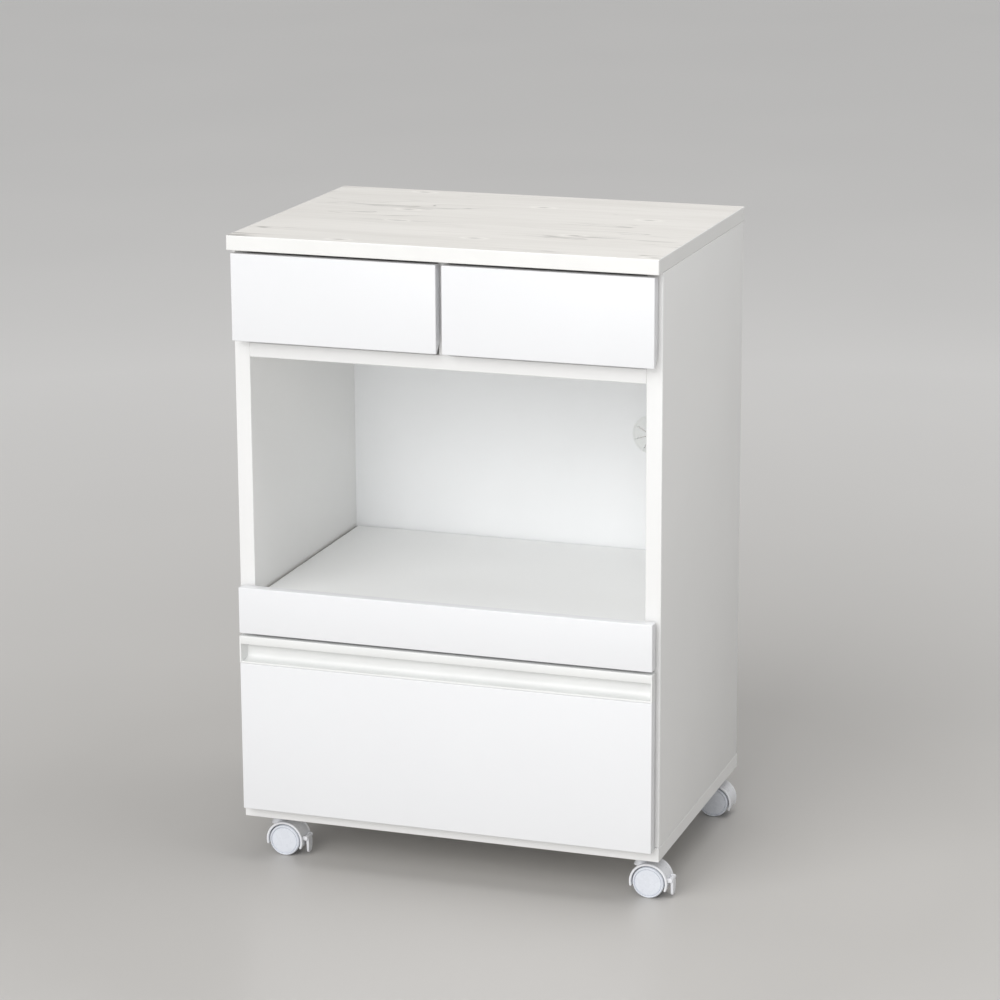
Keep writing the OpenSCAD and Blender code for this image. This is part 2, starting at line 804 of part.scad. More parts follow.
module caster_screws()
    color(steel)
    each_caster() plate_corners() {
        difference() {
            translate([0, 0, base_z - plate_t - wood_head_h]) cylinder(r = wood_head_r, h = wood_head_h);
            for (a = [0, 90]) rotate(a)
                translate([-wood_slot[0] / 2, -wood_slot[1] / 2, base_z - plate_t - wood_head_h - over])
                    cube(wood_slot + [0, 0, over]);
        }
        translate([0, 0, base_z - plate_t - wood_head_h / 2])
            cylinder(r = wood_screw_r, h = wood_screw_l - over + plate_t + wood_head_h / 2 - 0.5);
    }

// Wall of the fender with rounded rims, as a (radius, width) profile to revolve
module fender_profile() {
    half = hood_w / 2;
    r = fender_round;
    translate([hood_in_r, -half + r]) square([fender_t, hood_w - 2 * r]);
    translate([hood_in_r + r, -half]) square([fender_t - 2 * r, hood_w]);
    for (u = [hood_in_r + r, hood_r - r], v = [-half + r, half - r]) translate([u, v]) circle(r);
}

// Hood: fender over both wheels, web between them, hub for the axle and neck for the kingpin
module hood_shape(brake) {
    far = 2 * hood_r;
    difference() {
        union() {
            difference() {
                union() {
                    translate([trail, 0, wheel_r]) rotate([90, 0, 0]) rotate_extrude() fender_profile();
                    on_axle(hood_in_r + fender_t / 2, -web_t / 2, web_t / 2);
                    difference() {
                        translate([0, 0, wheel_r]) cylinder(r = neck_r, h = neck_top - wheel_r);
                        // room for the two wheels
                        for (s = [-1, 1])
                            on_axle(hood_in_r + seat, s > 0 ? web_t / 2 : -far, s > 0 ? far : -web_t / 2);
                    }
                }
                // opening below the fender
                along_y(-far, far) translate([trail, wheel_r]) polygon([[0, 0],
                    far * [cos(fender_end), sin(fender_end)], [-far, -far], [far, -far],
                    far * [cos(fender_low), sin(fender_low)]]);
            }
            on_axle(hub_r, -web_t / 2, web_t / 2);
            if (brake) lever_ears();
        }
        on_axle(axle_d / 2 + run, -far, far);
        translate([0, 0, kingpin_z - seat]) cylinder(r = kingpin_d / 2 + run, h = far);
        if (brake) {
            rod_y(trail + pivot_x, wheel_r + pivot_z, barrel_r + ear_gap,
                -lever_w / 2 - ear_gap, lever_w / 2 + ear_gap);
            rod_y(trail + pivot_x, wheel_r + pivot_z, trunnion_r + run, -far, far);
        }
    }
}

// Two ears on the fender that hold the lever's trunnions
module lever_ears()
    for (s = [-1, 1]) translate([0, s * (lever_w / 2 + ear_gap + ear_w / 2), 0]) {
        rod_y(trail + pivot_x, wheel_r + pivot_z, barrel_r, -ear_w / 2, ear_w / 2);
        block([trail + hood_in_r + 0.5, -ear_w / 2, wheel_r + pivot_z - barrel_r],
            [trail + pivot_x, ear_w / 2, wheel_r + pivot_z + barrel_r]);
    }

// Brake lever, hanging down with the brake on
module lever_shape() {
    x = trail + pivot_x;
    z = wheel_r + pivot_z;
    r = 4;
    far = 2 * x;
    rod_y(x, z, barrel_r, -lever_w / 2, lever_w / 2);
    rod_y(x, z, trunnion_r, -lever_w / 2 - ear_gap - ear_w + 0.2, lever_w / 2 + ear_gap + ear_w - 0.2);
    intersection() {
        along_y(-lever_w / 2, lever_w / 2) polygon([[x - 1, z], [x + barrel_r, z], [x + 4, z - lever_l + 3],
            [x + 3, z - lever_l], [x, z - lever_l], [x - 1, z - lever_l + 6]]);
        // tip with rounded corners
        union() {
            block([0, -lever_w / 2, z - lever_l + r], [far, lever_w / 2, z + lever_l]);
            block([0, -lever_w / 2 + r, z - lever_l], [far, lever_w / 2 - r, z]);
            for (s = [-1, 1]) rod_x(s * (lever_w / 2 - r), z - lever_l + r, r, 0, far);
        }
    }
}

// One wheel, from its inner face at v = 0 to its outer face, as a profile to revolve
module wheel_profile() {
    r = tread_round;
    difference() {
        union() {
            square([wheel_r - r, wheel_w]);
            translate([0, r]) square([wheel_r, wheel_w - 2 * r]);
            for (v = [r, wheel_w - r]) translate([wheel_r - r, v]) circle(r);
        }
        // blind bore for the axle
        translate([-over, -over]) square([axle_d / 2 + over, wheel_w - wheel_cap_t + over]);
        // sunk cap and ring groove in the outer face, and hollow in the inner face
        translate([-over, wheel_w - cap_sink]) square([wheel_cap_r + over, cap_sink + over]);
        translate([wheel_cap_r - rim_groove_w, wheel_w - rim_groove_d])
            square([rim_groove_w, rim_groove_d + over]);
        translate([hub_r, -over]) square([wheel_r - hollow_rim - hub_r, over + hollow_d]);
    }
}

module wheel_pair()
    translate([trail, 0, wheel_r]) for (s = [-1, 1])
        translate([0, s * (web_t / 2 + wheel_gap), 0]) rotate([-90 * s, 0, 0])
            rotate_extrude() wheel_profile();

module axle_shape() {
    end = web_t / 2 + wheel_gap + wheel_w - wheel_cap_t - 0.3;
    on_axle(axle_d / 2, -end, end);
}

module caster_fl_hood() color(white) at_caster(0) hood_shape(true);
module caster_fl_axle() color(steel) at_caster(0) axle_shape();
module caster_fl_wheels() color(grey_plastic) at_caster(0) wheel_pair();
module caster_fl_lever() color(white) at_caster(0) lever_shape();

module caster_fr_hood() color(white) at_caster(1) hood_shape(true);
module caster_fr_axle() color(steel) at_caster(1) axle_shape();
module caster_fr_wheels() color(grey_plastic) at_caster(1) wheel_pair();
module caster_fr_lever() color(white) at_caster(1) lever_shape();

module caster_rl_hood() color(white) at_caster(2) hood_shape(false);
module caster_rl_axle() color(steel) at_caster(2) axle_shape();
module caster_rl_wheels() color(grey_plastic) at_caster(2) wheel_pair();

module caster_rr_hood() color(white) at_caster(3) hood_shape(false);
module caster_rr_axle() color(steel) at_caster(3) axle_shape();
module caster_rr_wheels() color(grey_plastic) at_caster(3) wheel_pair();

// ---------------------------------------------------------------- nodes

top_panel();
top_edge_band();
side_left();
side_right();
bottom_panel();
drawer_shelf();
middle_shelf();
partition();
back_panel_upper();
back_panel_lower();
cable_port_ring();
cable_port_flaps();
drawer_guides();
tray_slide_outer();
lower_slide_outer();
cam_locks();
base_screws();
slide_screws();
caster_plates();
caster_screws();
left_drawer_front();
left_drawer_sides();
left_drawer_back();
left_drawer_bottom();
left_drawer_bumpers();
right_drawer_front();
right_drawer_sides();
right_drawer_back();
right_drawer_bottom();
right_drawer_bumpers();
tray_front();
tray_board();
tray_rails();
tray_slide_inner();
tray_bumpers();
tray_slide_mid();
lower_drawer_front();
handle_channel();
handle_caps();
lower_drawer_sides();
lower_drawer_back();
lower_drawer_bottom();
lower_slide_inner();
lower_drawer_bumpers();
lower_slide_mid();
caster_fl_hood();
caster_fl_axle();
caster_fl_wheels();
caster_fl_lever();
caster_fr_hood();
caster_fr_axle();
caster_fr_wheels();
caster_fr_lever();
caster_rl_hood();
caster_rl_axle();
caster_rl_wheels();
caster_rr_hood();
caster_rr_axle();
caster_rr_wheels();
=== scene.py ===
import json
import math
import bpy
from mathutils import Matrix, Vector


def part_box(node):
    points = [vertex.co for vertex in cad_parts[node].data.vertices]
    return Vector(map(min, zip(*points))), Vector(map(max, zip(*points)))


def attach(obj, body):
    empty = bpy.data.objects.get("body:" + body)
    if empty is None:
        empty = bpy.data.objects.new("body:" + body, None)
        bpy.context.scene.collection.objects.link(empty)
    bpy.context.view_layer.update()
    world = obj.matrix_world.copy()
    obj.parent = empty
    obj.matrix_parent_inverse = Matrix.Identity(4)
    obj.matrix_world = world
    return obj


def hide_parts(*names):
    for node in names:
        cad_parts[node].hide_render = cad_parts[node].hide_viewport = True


bl_info = {
    "name": "Microwave Stand with Drawers",
    "version": (1, 0, 0),
    "blender": (4, 5, 0),
    "location": "3D View > Sidebar > Stand",
    "description": "Shapes and finishes of a kitchen stand on casters, built round its CAD model",
    "category": "Object",
}

import bmesh
import bpy
import numpy as np
from bpy.props import FloatProperty, FloatVectorProperty, IntProperty, PointerProperty
from mathutils import Vector

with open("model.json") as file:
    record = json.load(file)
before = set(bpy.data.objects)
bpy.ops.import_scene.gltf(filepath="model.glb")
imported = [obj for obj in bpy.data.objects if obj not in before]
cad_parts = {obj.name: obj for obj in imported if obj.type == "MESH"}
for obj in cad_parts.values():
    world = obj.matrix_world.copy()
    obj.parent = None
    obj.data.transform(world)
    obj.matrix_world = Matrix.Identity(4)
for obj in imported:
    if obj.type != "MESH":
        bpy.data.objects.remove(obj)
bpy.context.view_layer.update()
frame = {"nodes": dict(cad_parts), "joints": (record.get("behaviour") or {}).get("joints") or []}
JOINTS = {joint["name"]: joint for joint in frame["joints"]}
CASTERS = ("fl", "fr", "rl", "rr")
CREASE = math.radians(32)


# -------------------- settings


def colour_setting(name, description, default):
    """A colour without alpha, in linear light."""
    return FloatVectorProperty(
        name=name, description=description, subtype="COLOR", size=3, min=0, max=1, default=default
    )


def length_setting(name, description, default):
    """A length in metres, shown in the scene's unit."""
    return FloatProperty(name=name, description=description, unit="LENGTH", min=0, default=default)


def angle_setting(name, description, degrees):
    """An angle, given in degrees and kept in radians."""
    return FloatProperty(name=name, description=description, unit="ROTATION", default=math.radians(degrees))


def light_setting(name, description, default, unit="POWER"):
    """Strength of a light, in watts unless another unit is given."""
    return FloatProperty(name=name, description=description, unit=unit, default=default)


class StandFinishes(bpy.types.PropertyGroup):
    """Colours of the boards, plastics and metals."""

    board: colour_setting("Boards", "White board of the cabinet", (0.935, 0.935, 0.925))
    # painted shade: the fronts' white is darker than the boards' to hold down the highlights of the brightly
    # lit fronts
    front: colour_setting("Fronts", "Satin white of the fronts", (0.845, 0.852, 0.868))
    wood: colour_setting("Worktop", "Whitewashed wood of the worktop", (0.80, 0.78, 0.745))
    grain: colour_setting("Grain", "Grey streaks of the worktop", (0.56, 0.535, 0.50))
    # painted light: the tray's white is paler than the boards' so the tray, lit less inside the bay, looks as
    # bright as a lit board
    tray: colour_setting("Tray", "White board of the pull-out tray", (0.965, 0.97, 0.965))
    tape: colour_setting("Edge tape", "Tape on the boards' front edges", (0.85, 0.85, 0.845))
    band: colour_setting("Edge band", "Tape round the worktop", (0.87, 0.87, 0.855))
    back: colour_setting("Back panels", "Painted hardboard", (0.955, 0.967, 0.975))
    box: colour_setting("Drawer boxes", "Paper-faced boards of the drawer boxes", (0.80, 0.79, 0.76))
    handle: colour_setting("Handle", "Moulded handle channel", (0.86, 0.868, 0.86))
    port: colour_setting("Cable port", "Ring of the cable port", (0.92, 0.935, 0.925))
    membrane: colour_setting("Membrane", "Rubber of the cable port", (0.89, 0.905, 0.895))
    zinc: colour_setting("Slides", "Zinc-plated steel", (0.66, 0.68, 0.71))
    screw: colour_setting("Screws", "Bright screws and cam locks", (0.60, 0.60, 0.62))
    guide: colour_setting("Guides", "Plastic guide strips", (0.72, 0.72, 0.70))
    bumper: colour_setting("Bumpers", "Clear soft bumpers", (0.86, 0.88, 0.90))
    shell: colour_setting("Caster hoods", "Moulded caster hoods", (0.87, 0.88, 0.91))
    wheel: colour_setting("Wheels", "Caster wheels", (0.79, 0.82, 0.88))


class FrontSizes(bpy.types.PropertyGroup):
    """Rounding of the fronts."""

    rounding: length_setting("Edge rounding", "Radius of the edges", 0.0012)
    bevel_depth: length_setting("Finger bevel depth", "Depth of the bevel under an upper front", 0.012)
    bevel_height: length_setting("Finger bevel height", "Height of that bevel", 0.014)


class HandleSizes(bpy.types.PropertyGroup):
    """Section of the handle channel."""

    lip_height: length_setting("Lip height", "Height of the lip at the front", 0.0115)
    lip_wall: length_setting("Lip wall", "Thickness of the lip and the top wall", 0.002)
    back_wall: length_setting("Back wall", "Thickness of the back wall", 0.0015)
    floor: length_setting("Floor", "Thickness of the channel's floor", 0.003)
    hollow: length_setting("Hollow radius", "Radius between floor and back wall", 0.009)
    height: length_setting("Height", "Height of the channel", 0.039)
    corner: length_setting("Corner", "Radius of the channel's outside corners", 0.0012)


class SlideSizes(bpy.types.PropertyGroup):
    """Telescopic slides of the tray and the lower drawer."""

    steel: length_setting("Steel", "Thickness of the sheet steel", 0.0012)
    bend: length_setting("Bend", "Outside radius of the bends", 0.0022)
    outer_flange: length_setting("Outer flange", "Width of the outer member's flanges", 0.0095)
    middle_flange: length_setting("Middle flange", "Width of the middle member's flanges", 0.0080)
    inner_flange: length_setting("Inner flange", "Width of the inner member's flanges", 0.0077)


class PortSizes(bpy.types.PropertyGroup):
    """Cable port in the upper back panel."""

    petals: IntProperty(name="Petals", description="Flaps of the membrane", min=6, max=12, default=8)
    slit: length_setting("Slit", "Width of a slit in the membrane", 0.0018)
    hole: length_setting("Hole radius", "Radius of the hole in the middle", 0.0045)
    rim: length_setting("Rim radius", "Radius of the petals' outer edge", 0.0268)
    slit_end: length_setting("Slit end", "Radius at which the slits end", 0.0262)
    sleeve: length_setting("Sleeve radius", "Outside radius of the ring's sleeve", 0.024)
    bore: length_setting("Bore radius", "Inside radius of the ring", 0.0231)
    flange: length_setting("Flange", "Thickness of the ring's flange", 0.0016)
    step: length_setting("Step", "Depth of the membrane behind the ring's rim", 0.0004)
    rubber: length_setting("Rubber", "Thickness of the membrane", 0.0011)
    curl: length_setting("Curl", "How far the petals' tips stand out", 0.0022)
    start: angle_setting("First slit", "Angle of the first slit", 28)


class CasterSizes(bpy.types.PropertyGroup):
    """Twin-wheel casters."""

    trail: length_setting("Trail", "From the swivel's axis to the axle", 0.014)
    wheel_radius: length_setting("Wheel radius", "Outside radius of a wheel", 0.022)
    wheel_inside: length_setting("Wheel inside", "Wheel's inner face, from the middle", 0.0056)
    wheel_outside: length_setting("Wheel outside", "Wheel's outer face, from the middle", 0.0170)
    hood_inside: length_setting("Hood inside", "Inner radius of the fender", 0.0237)
    hood_outside: length_setting("Hood outside", "Outer radius of the fender", 0.0270)
    hood_half: length_setting("Hood half width", "Half the width of the fender", 0.0170)
    bead: length_setting("Bead", "Width of the raised rims of the fender", 0.0030)
    bead_rise: length_setting("Bead height", "Height of those rims", 0.0009)
    web_half: length_setting("Web half width", "Half the web between the wheels", 0.0050)
    neck_radius: length_setting("Neck radius", "Radius of the neck", 0.0080)
    neck_top: length_setting("Neck top", "Height of the neck's upper face", 0.0562)
    fender_low: angle_setting("Fender rear end", "Lower end behind", -24)
    fender_high: angle_setting("Fender front end", "Lower end in front", 196)
    hub_radius: length_setting("Hub radius", "Outside radius of the hood's hub", 0.0070)
    hub_bore: length_setting("Hub bore", "Radius of the bore in the hub", 0.00305)
    axle_bore: length_setting("Axle bore", "Radius of the bore in a wheel and the web", 0.0031)
    kingpin_bore: length_setting("Kingpin bore", "Radius of the bore in the neck", 0.0041)
    lever_length: length_setting("Lever length", "Brake lever below its pivot", 0.0225)
    lever_width: length_setting("Lever width", "Brake lever at its pivot", 0.0148)


class StageSettings(bpy.types.PropertyGroup):
    """Floor, lights and camera."""

    floor: colour_setting("Floor", "Plain pale floor", (0.56, 0.545, 0.525))
    far_floor: colour_setting("Far floor", "Its paler tone away from the stand", (0.93, 0.92, 0.905))
    sky: colour_setting("Surroundings", "Even light from all round", (1.0, 1.0, 1.0))
    sky_strength: light_setting("Surroundings strength", "Even light", 0.34, "NONE")
    key_strength: light_setting("Key strength", "Soft light from the front left", 1.24, "NONE")
    front_power: light_setting("Front power", "Wide soft light in front", 60)
    side_power: light_setting("Side power", "Weak light at the right", 1.5)
    top_power: light_setting("Overhead power", "Soft light overhead", 48)
    camera_place: FloatVectorProperty(
        name="Camera", description="Place", subtype="TRANSLATION", default=(1.4462, -4.2109, 1.6557)
    )
    camera_turn: FloatVectorProperty(
        name="Camera turn",
        description="Rotation",
        subtype="EULER",
        default=(math.radians(75.861), math.radians(0.133), math.radians(18.252)),
    )
    lens: FloatProperty(name="Lens", description="Focal length in mm", default=119.01)
    shift: FloatProperty(name="Lens shift", description="Shift of the lens, across and up", default=-0.03)


# -------------------- surfaces


def rounded_span(start, end, edge, steps=4, middle=1):
    """Positions from start to end, closer together at both ends, and how full a rounded edge is there.
    Within edge of an end the fullness is a quarter circle, sqrt(1 - (1 - d / edge)^2), and 1 between."""
    turn = np.linspace(0, math.pi / 2, steps + 1)
    near, full = edge * (1 - np.cos(turn)), np.sin(turn)
    inner = np.linspace(start + edge, end - edge, middle + 1)[1:-1]
    place = np.concatenate([start + near, inner, (end - near)[::-1]])
    return place, np.concatenate([full, np.ones(len(inner)), full[::-1]])


def grid_quads(rows, columns, first=0, ring=False):
    """Quads over a grid of points numbered row by row; with ring, the last column meets the first."""
    r, c = np.meshgrid(np.arange(rows - 1), np.arange(columns if ring else columns - 1), indexing="ij")
    n = (c + 1) % columns
    quads = np.stack([r * columns + c, r * columns + n, (r + 1) * columns + n, (r + 1) * columns + c], -1)
    return quads.reshape(-1, 4) + first


def shell_between(front, back):
    """Closed shell between two grids of the same shape (rows, columns, 3), stitched along their edges."""
    rows, columns = front.shape[:2]
    size = rows * columns
    number = np.arange(size).reshape(rows, columns)
    quads = [grid_quads(rows, columns), grid_quads(rows, columns, size)[:, ::-1]]
    for border in (number[0], number[-1], number[:, 0], number[:, -1]):
        a, b = border[:-1], border[1:]
        quads.append(np.stack([a, b, b + size, a + size], -1))
    points = np.concatenate([front.reshape(-1, 3), back.reshape(-1, 3)])
    return points, np.concatenate(quads).tolist()


def lattice(x, y, z):
    """Grid of points from coordinates that run along its rows, along its columns or along both."""
    return np.stack(np.broadcast_arrays(x, y, z), -1)


def carried(line, stations, axis):
    """Grid of a flat line, or of one for each station, carried along an axis: the station gives the
    coordinate on that axis, and the line the other two in their order."""
    run, a, b = stations[:, None], line[..., 0], line[..., 1]
    return lattice(*{"x": (run, a, b), "y": (a, run, b), "z": (a, b, run)}[axis])


def turned(profile, centre, steps, axis="y"):
    """(radius, station) pairs revolved about an axis through centre: across = radius * cos(a),
    up = radius * sin(a). A profile that starts and ends at radius 0, or where it began, is closed."""
    angle = np.linspace(0, 2 * math.pi, steps, endpoint=False)
    circle = np.stack([np.cos(angle), np.sin(angle)], -1)
    radius, stations = np.asarray(profile, float).T
    grid = carried(radius[:, None, None] * circle, stations, axis) + np.asarray(centre)
    return grid.reshape(-1, 3), grid_quads(len(profile), steps, 0, True).tolist()


def mirrored(half):
    """Profile of a turned part that is the same both ways, from the half with stations over 0."""
    return [(radius, -station) for radius, station in half] + half[::-1]


def rounded_outline(corners, radius, inset, steps):
    """Convex polygon with round corners, moved inwards by inset: each corner is an arc of
    radius - inset about the point that lies radius inside both of its edges."""
    p = np.asarray(corners, float)
    if np.sum(p[:, 0] * np.roll(p[:, 1], -1) - p[:, 1] * np.roll(p[:, 0], -1)) < 0:
        p = p[::-1]
    edges = np.roll(p, -1, 0) - p
    edges /= np.linalg.norm(edges, axis=1)[:, None]
    after = np.stack([edges[:, 1], -edges[:, 0]], -1)
    before = np.roll(after, 1, 0)
    centre = p - radius * (before + after) / (1 + np.sum(before * after, 1))[:, None]
    start = np.arctan2(before[:, 1], before[:, 0])
    sweep = (np.arctan2(after[:, 1], after[:, 0]) - start) % (2 * math.pi)
    angle = start[:, None] + sweep[:, None] * np.linspace(0, 1, steps + 1)
    arc = np.stack([np.cos(angle), np.sin(angle)], -1)
    return (centre[:, None] + (radius - inset) * arc).reshape(-1, 2)


def eased_prism(corners, low, high, axis, radius, edge, steps=4):
    """Convex section carried along an axis from low to high, its corners rounded by radius and its two
    rims by edge: near an end the section shrinks by edge * (1 - fullness)."""
    place, full = rounded_span(low, high, edge, steps)
    rings = np.stack([rounded_outline(corners, radius, edge * (1 - f), steps) for f in full])
    rows, columns = rings.shape[:2]
    faces = grid_quads(rows, columns, 0, True).tolist()
    faces.append(list(range(columns))[::-1])
    faces.append(list(range((rows - 1) * columns, rows * columns)))
    return carried(rings, place, axis).reshape(-1, 3), faces


def rectangle(low, high):
    """Corners of a flat rectangle."""
    return [(low[0], low[1]), (high[0], low[1]), (high[0], high[1]), (low[0], high[1])]


def piece(name, solids, body, finish, slot, *stands_for):
    """One mesh object from closed solids (points, faces): doubles merged, normals outwards, edges sharper
    than CREASE kept, riding on a body in the place of the CAD nodes it stands for."""
    points, faces, first = [], [], 0
    for solid_points, solid_faces in solids:
        points.append(solid_points)
        faces += [[v + first for v in face] for face in solid_faces]
        first += len(solid_points)
    mesh = bpy.data.meshes.new(name)
    mesh.from_pydata(np.concatenate(points).tolist(), [], faces)
    shape = bmesh.new()
    shape.from_mesh(mesh)
    bmesh.ops.remove_doubles(shape, verts=shape.verts, dist=2e-6)
    bmesh.ops.dissolve_degenerate(shape, edges=shape.edges, dist=1e-6)
    bmesh.ops.recalc_face_normals(shape, faces=shape.faces)
    shape.to_mesh(mesh)
    shape.free()
    mesh.polygons.foreach_set("use_smooth", np.ones(len(mesh.polygons), bool))
    mesh.set_sharp_from_angle(angle=CREASE)
    mesh.materials.append(finish)
    obj = bpy.data.objects.new(name, mesh)
    bpy.context.scene.collection.objects.link(obj)
    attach(obj, body)
    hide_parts(*stands_for)


def dress(finish, *nodes):
    """Gives CAD nodes a finish, leaving their meshes alone."""
    for node in nodes:
        mesh = frame["nodes"][node].data
        if not len(mesh.materials):
            mesh.materials.append(finish)
        for index in range(len(mesh.materials)):
            mesh.materials[index] = finish


# -------------------- finishes

TAPE_END, SEAM = 0.0005, 0.0001  # depth of the tape behind the front edge, and width of its seam
# painted shade: the raw chip colours along the tray's side edges are partly real raw board and partly painted
# shade for the dark gap beside the tray
RAW_AND_SHADE_BAND = 0.0002  # raw board, partly painted shade, begins this far inside a cut edge, and is full half as far inside
PALE_CHIP_AND_SHADE, DARK_CHIP_AND_SHADE = (0.47, 0.375, 0.28), (0.30, 0.23, 0.165)


def shader_of(material):
    """The material's shader."""
    return material.node_tree.nodes["Principled BSDF"]


def bare_finish(name, **sockets):
    """New material whose shader has the given constant sockets, written with _ for a space."""
    material = bpy.data.materials.new(name)
    material.use_nodes = True
    for socket, value in sockets.items():
        shader_of(material).inputs[socket.replace("_", " ")].default_value = value
    return material


def drive(material, socket, value):
    """Links a value or colour to a socket of the shader."""
    material.node_tree.links.new(value, shader_of(material).inputs[socket])


def add_node(tree, kind, sockets, output, **options):
    """Output of a new node, whose sockets each take a constant or a link."""
    node = tree.nodes.new(kind)
    for option, choice in options.items():
        setattr(node, option, choice)
    for socket, value in sockets.items():
        if isinstance(value, bpy.types.NodeSocket):
            tree.links.new(value, node.inputs[socket])
        else:
            node.inputs[socket].default_value = value
    return node.outputs[output]


def object_place(material):
    """Object coordinates, in metres."""
    return add_node(material.node_tree, "ShaderNodeTexCoord", {}, "Object")


def stretched_place(material, stretch):
    """Object coordinates times a factor along each axis."""
    place = object_place(material)
    return add_node(place.id_data, "ShaderNodeMapping", {"Vector": place, "Scale": stretch}, "Vector")


def noise(material, scale, detail=3.0, roughness=0.5, distortion=0.0, stretch=(1, 1, 1)):
    """Noise over stretched Object coordinates."""
    sockets = {"Vector": stretched_place(material, stretch), "Scale": scale, "Detail": detail}
    sockets |= {"Roughness": roughness, "Distortion": distortion}
    return add_node(material.node_tree, "ShaderNodeTexNoise", sockets, "Fac")


def spots(material, scale, stretch):
    """Distance to the nearest of scattered points in stretched Object coordinates."""
    sockets = {"Vector": stretched_place(material, stretch), "Scale": scale}
    options = {"voronoi_dimensions": "2D"}
    return add_node(material.node_tree, "ShaderNodeTexVoronoi", sockets, "Distance", **options)


def distance_out(material):
    """Distance from the object's origin, in metres."""
    place = object_place(material)
    return add_node(place.id_data, "ShaderNodeVectorMath", {0: place}, "Value", operation="LENGTH")


def coordinate(material, axis):
    """Object coordinate X, Y or Z, in metres."""
    place = object_place(material)
    return add_node(place.id_data, "ShaderNodeSeparateXYZ", {"Vector": place}, axis)


def spread(value, low, high, to_low=0.0, to_high=1.0):
    """Takes the range low..high of a value to to_low..to_high, and holds it there."""
    sockets = {"Value": value, "From Min": low, "From Max": high, "To Min": to_low, "To Max": to_high}
    return add_node(value.id_data, "ShaderNodeMapRange", sockets, "Result")


def join_values(first, second, operation="ADD"):
    """Arithmetic on two values, of which the first is a socket."""
    sockets = {0: first, 1: second}
    return add_node(first.id_data, "ShaderNodeMath", sockets, "Value", operation=operation)


def blend_colours(factor, first, second):
    """Mixes two colours, or colour sockets, by a value. The node's colours are its sockets 6 and 7."""
    sockets = {0: factor}
    for index, colour in ((6, first), (7, second)):
        sockets[index] = colour if isinstance(colour, bpy.types.NodeSocket) else (*colour, 1)
    return add_node(factor.id_data, "ShaderNodeMix", sockets, 2, data_type="RGBA")


def toned(colour, factor):
    """Colour times a factor, held at 1."""
    return tuple(min(1.0, channel * factor) for channel in colour)


def band(value, rise, fall, height):
    """Grows to height over the range rise of a value and sinks back to 0 over the range fall."""
    growing, sinking = spread(value, *rise), spread(value, *fall, height, 0.0)
    return join_values(growing, sinking, "MULTIPLY")


def mottle(cloud, colour, tone, low=0.3, high=0.7):
    """Colour that fades to a tone of itself as a cloudy value falls from high to low."""
    return blend_colours(spread(cloud, low, high), toned(colour, tone), colour)


def vary_gloss(material, value, glossy, dull, low=0.3, high=0.7):
    """Roughness from glossy to dull as a value goes from low to high."""
    drive(material, "Roughness", spread(value, low, high, glossy, dull))


def raise_surface(material, height, distance, strength=1.0):
    """Bumps the surface by height * distance metres."""
    sockets = {"Height": height, "Distance": distance, "Strength": strength}
    drive(material, "Normal", add_node(height.id_data, "ShaderNodeBump", sockets, "Normal"))


def moulded(name, colour, rough, grain_scale=900.0, grain_depth=0.00004, tone=0.94, **sockets):
    """Plastic from a mould: cloudy tone over centimetres, fine even grain, uneven gloss."""
    material = bare_finish(name, **sockets)
    drive(material, "Base Color", mottle(noise(material, 26.0, 2.0), colour, tone))
    vary_gloss(material, noise(material, 140.0), rough - 0.05, rough + 0.06)
    raise_surface(material, noise(material, grain_scale, 2.0), grain_depth, 0.6)
    return material


def paper_faced(name, colour, rough, peel_scale, peel_depth, tone=0.965, tape=None, front=0.0, raw_and_shade_edge=0.0):
    """White faced board: very faint cloudiness, orange peel a few millimetres wide, uneven gloss, and
    where there is tape, its own tone up to half a millimetre behind the front edge and a fine seam. The
    last argument is the half width at which the side edges show raw particle board, pale and dark chips by
    noise; this raw edge is partly real and partly painted shade for the dark gap beside the tray."""
    material = bare_finish(name, IOR=1.48)
    face = mottle(noise(material, 4.0), colour, tone, 0.25, 0.75)
    if tape:
        depth, end = coordinate(material, "Y"), front + TAPE_END
        face = blend_colours(spread(depth, end, end + SEAM), tape, face)
        seam = band(depth, (end - SEAM / 2, end), (end + SEAM, end + 1.5 * SEAM), 0.35)
        face = blend_colours(seam, face, toned(tape, 0.45))
    # painted shade: raw board colour along the side edges, partly real, stands in for the shade in the gap
    # beside the tray
    if raw_and_shade_edge:
        chips = spread(noise(material, 650.0, 2.0, stretch=(1, 0.5, 1)), 0.35, 0.65)
        raw_and_shade = blend_colours(chips, DARK_CHIP_AND_SHADE, PALE_CHIP_AND_SHADE)
        out = join_values(coordinate(material, "X"), 0.0, "ABSOLUTE")
        face = blend_colours(spread(out, raw_and_shade_edge - RAW_AND_SHADE_BAND, raw_and_shade_edge - RAW_AND_SHADE_BAND / 2), face, raw_and_shade)
    drive(material, "Base Color", face)
    vary_gloss(material, noise(material, 9.0), rough - 0.025, rough + 0.03, 0.2, 0.8)
    fine_peel = spread(noise(material, peel_scale * 5, 1.0), 0, 1, 0, 0.25)
    peel = join_values(noise(material, peel_scale, 2.0), fine_peel)
    raise_surface(material, peel, peel_depth)
    return material


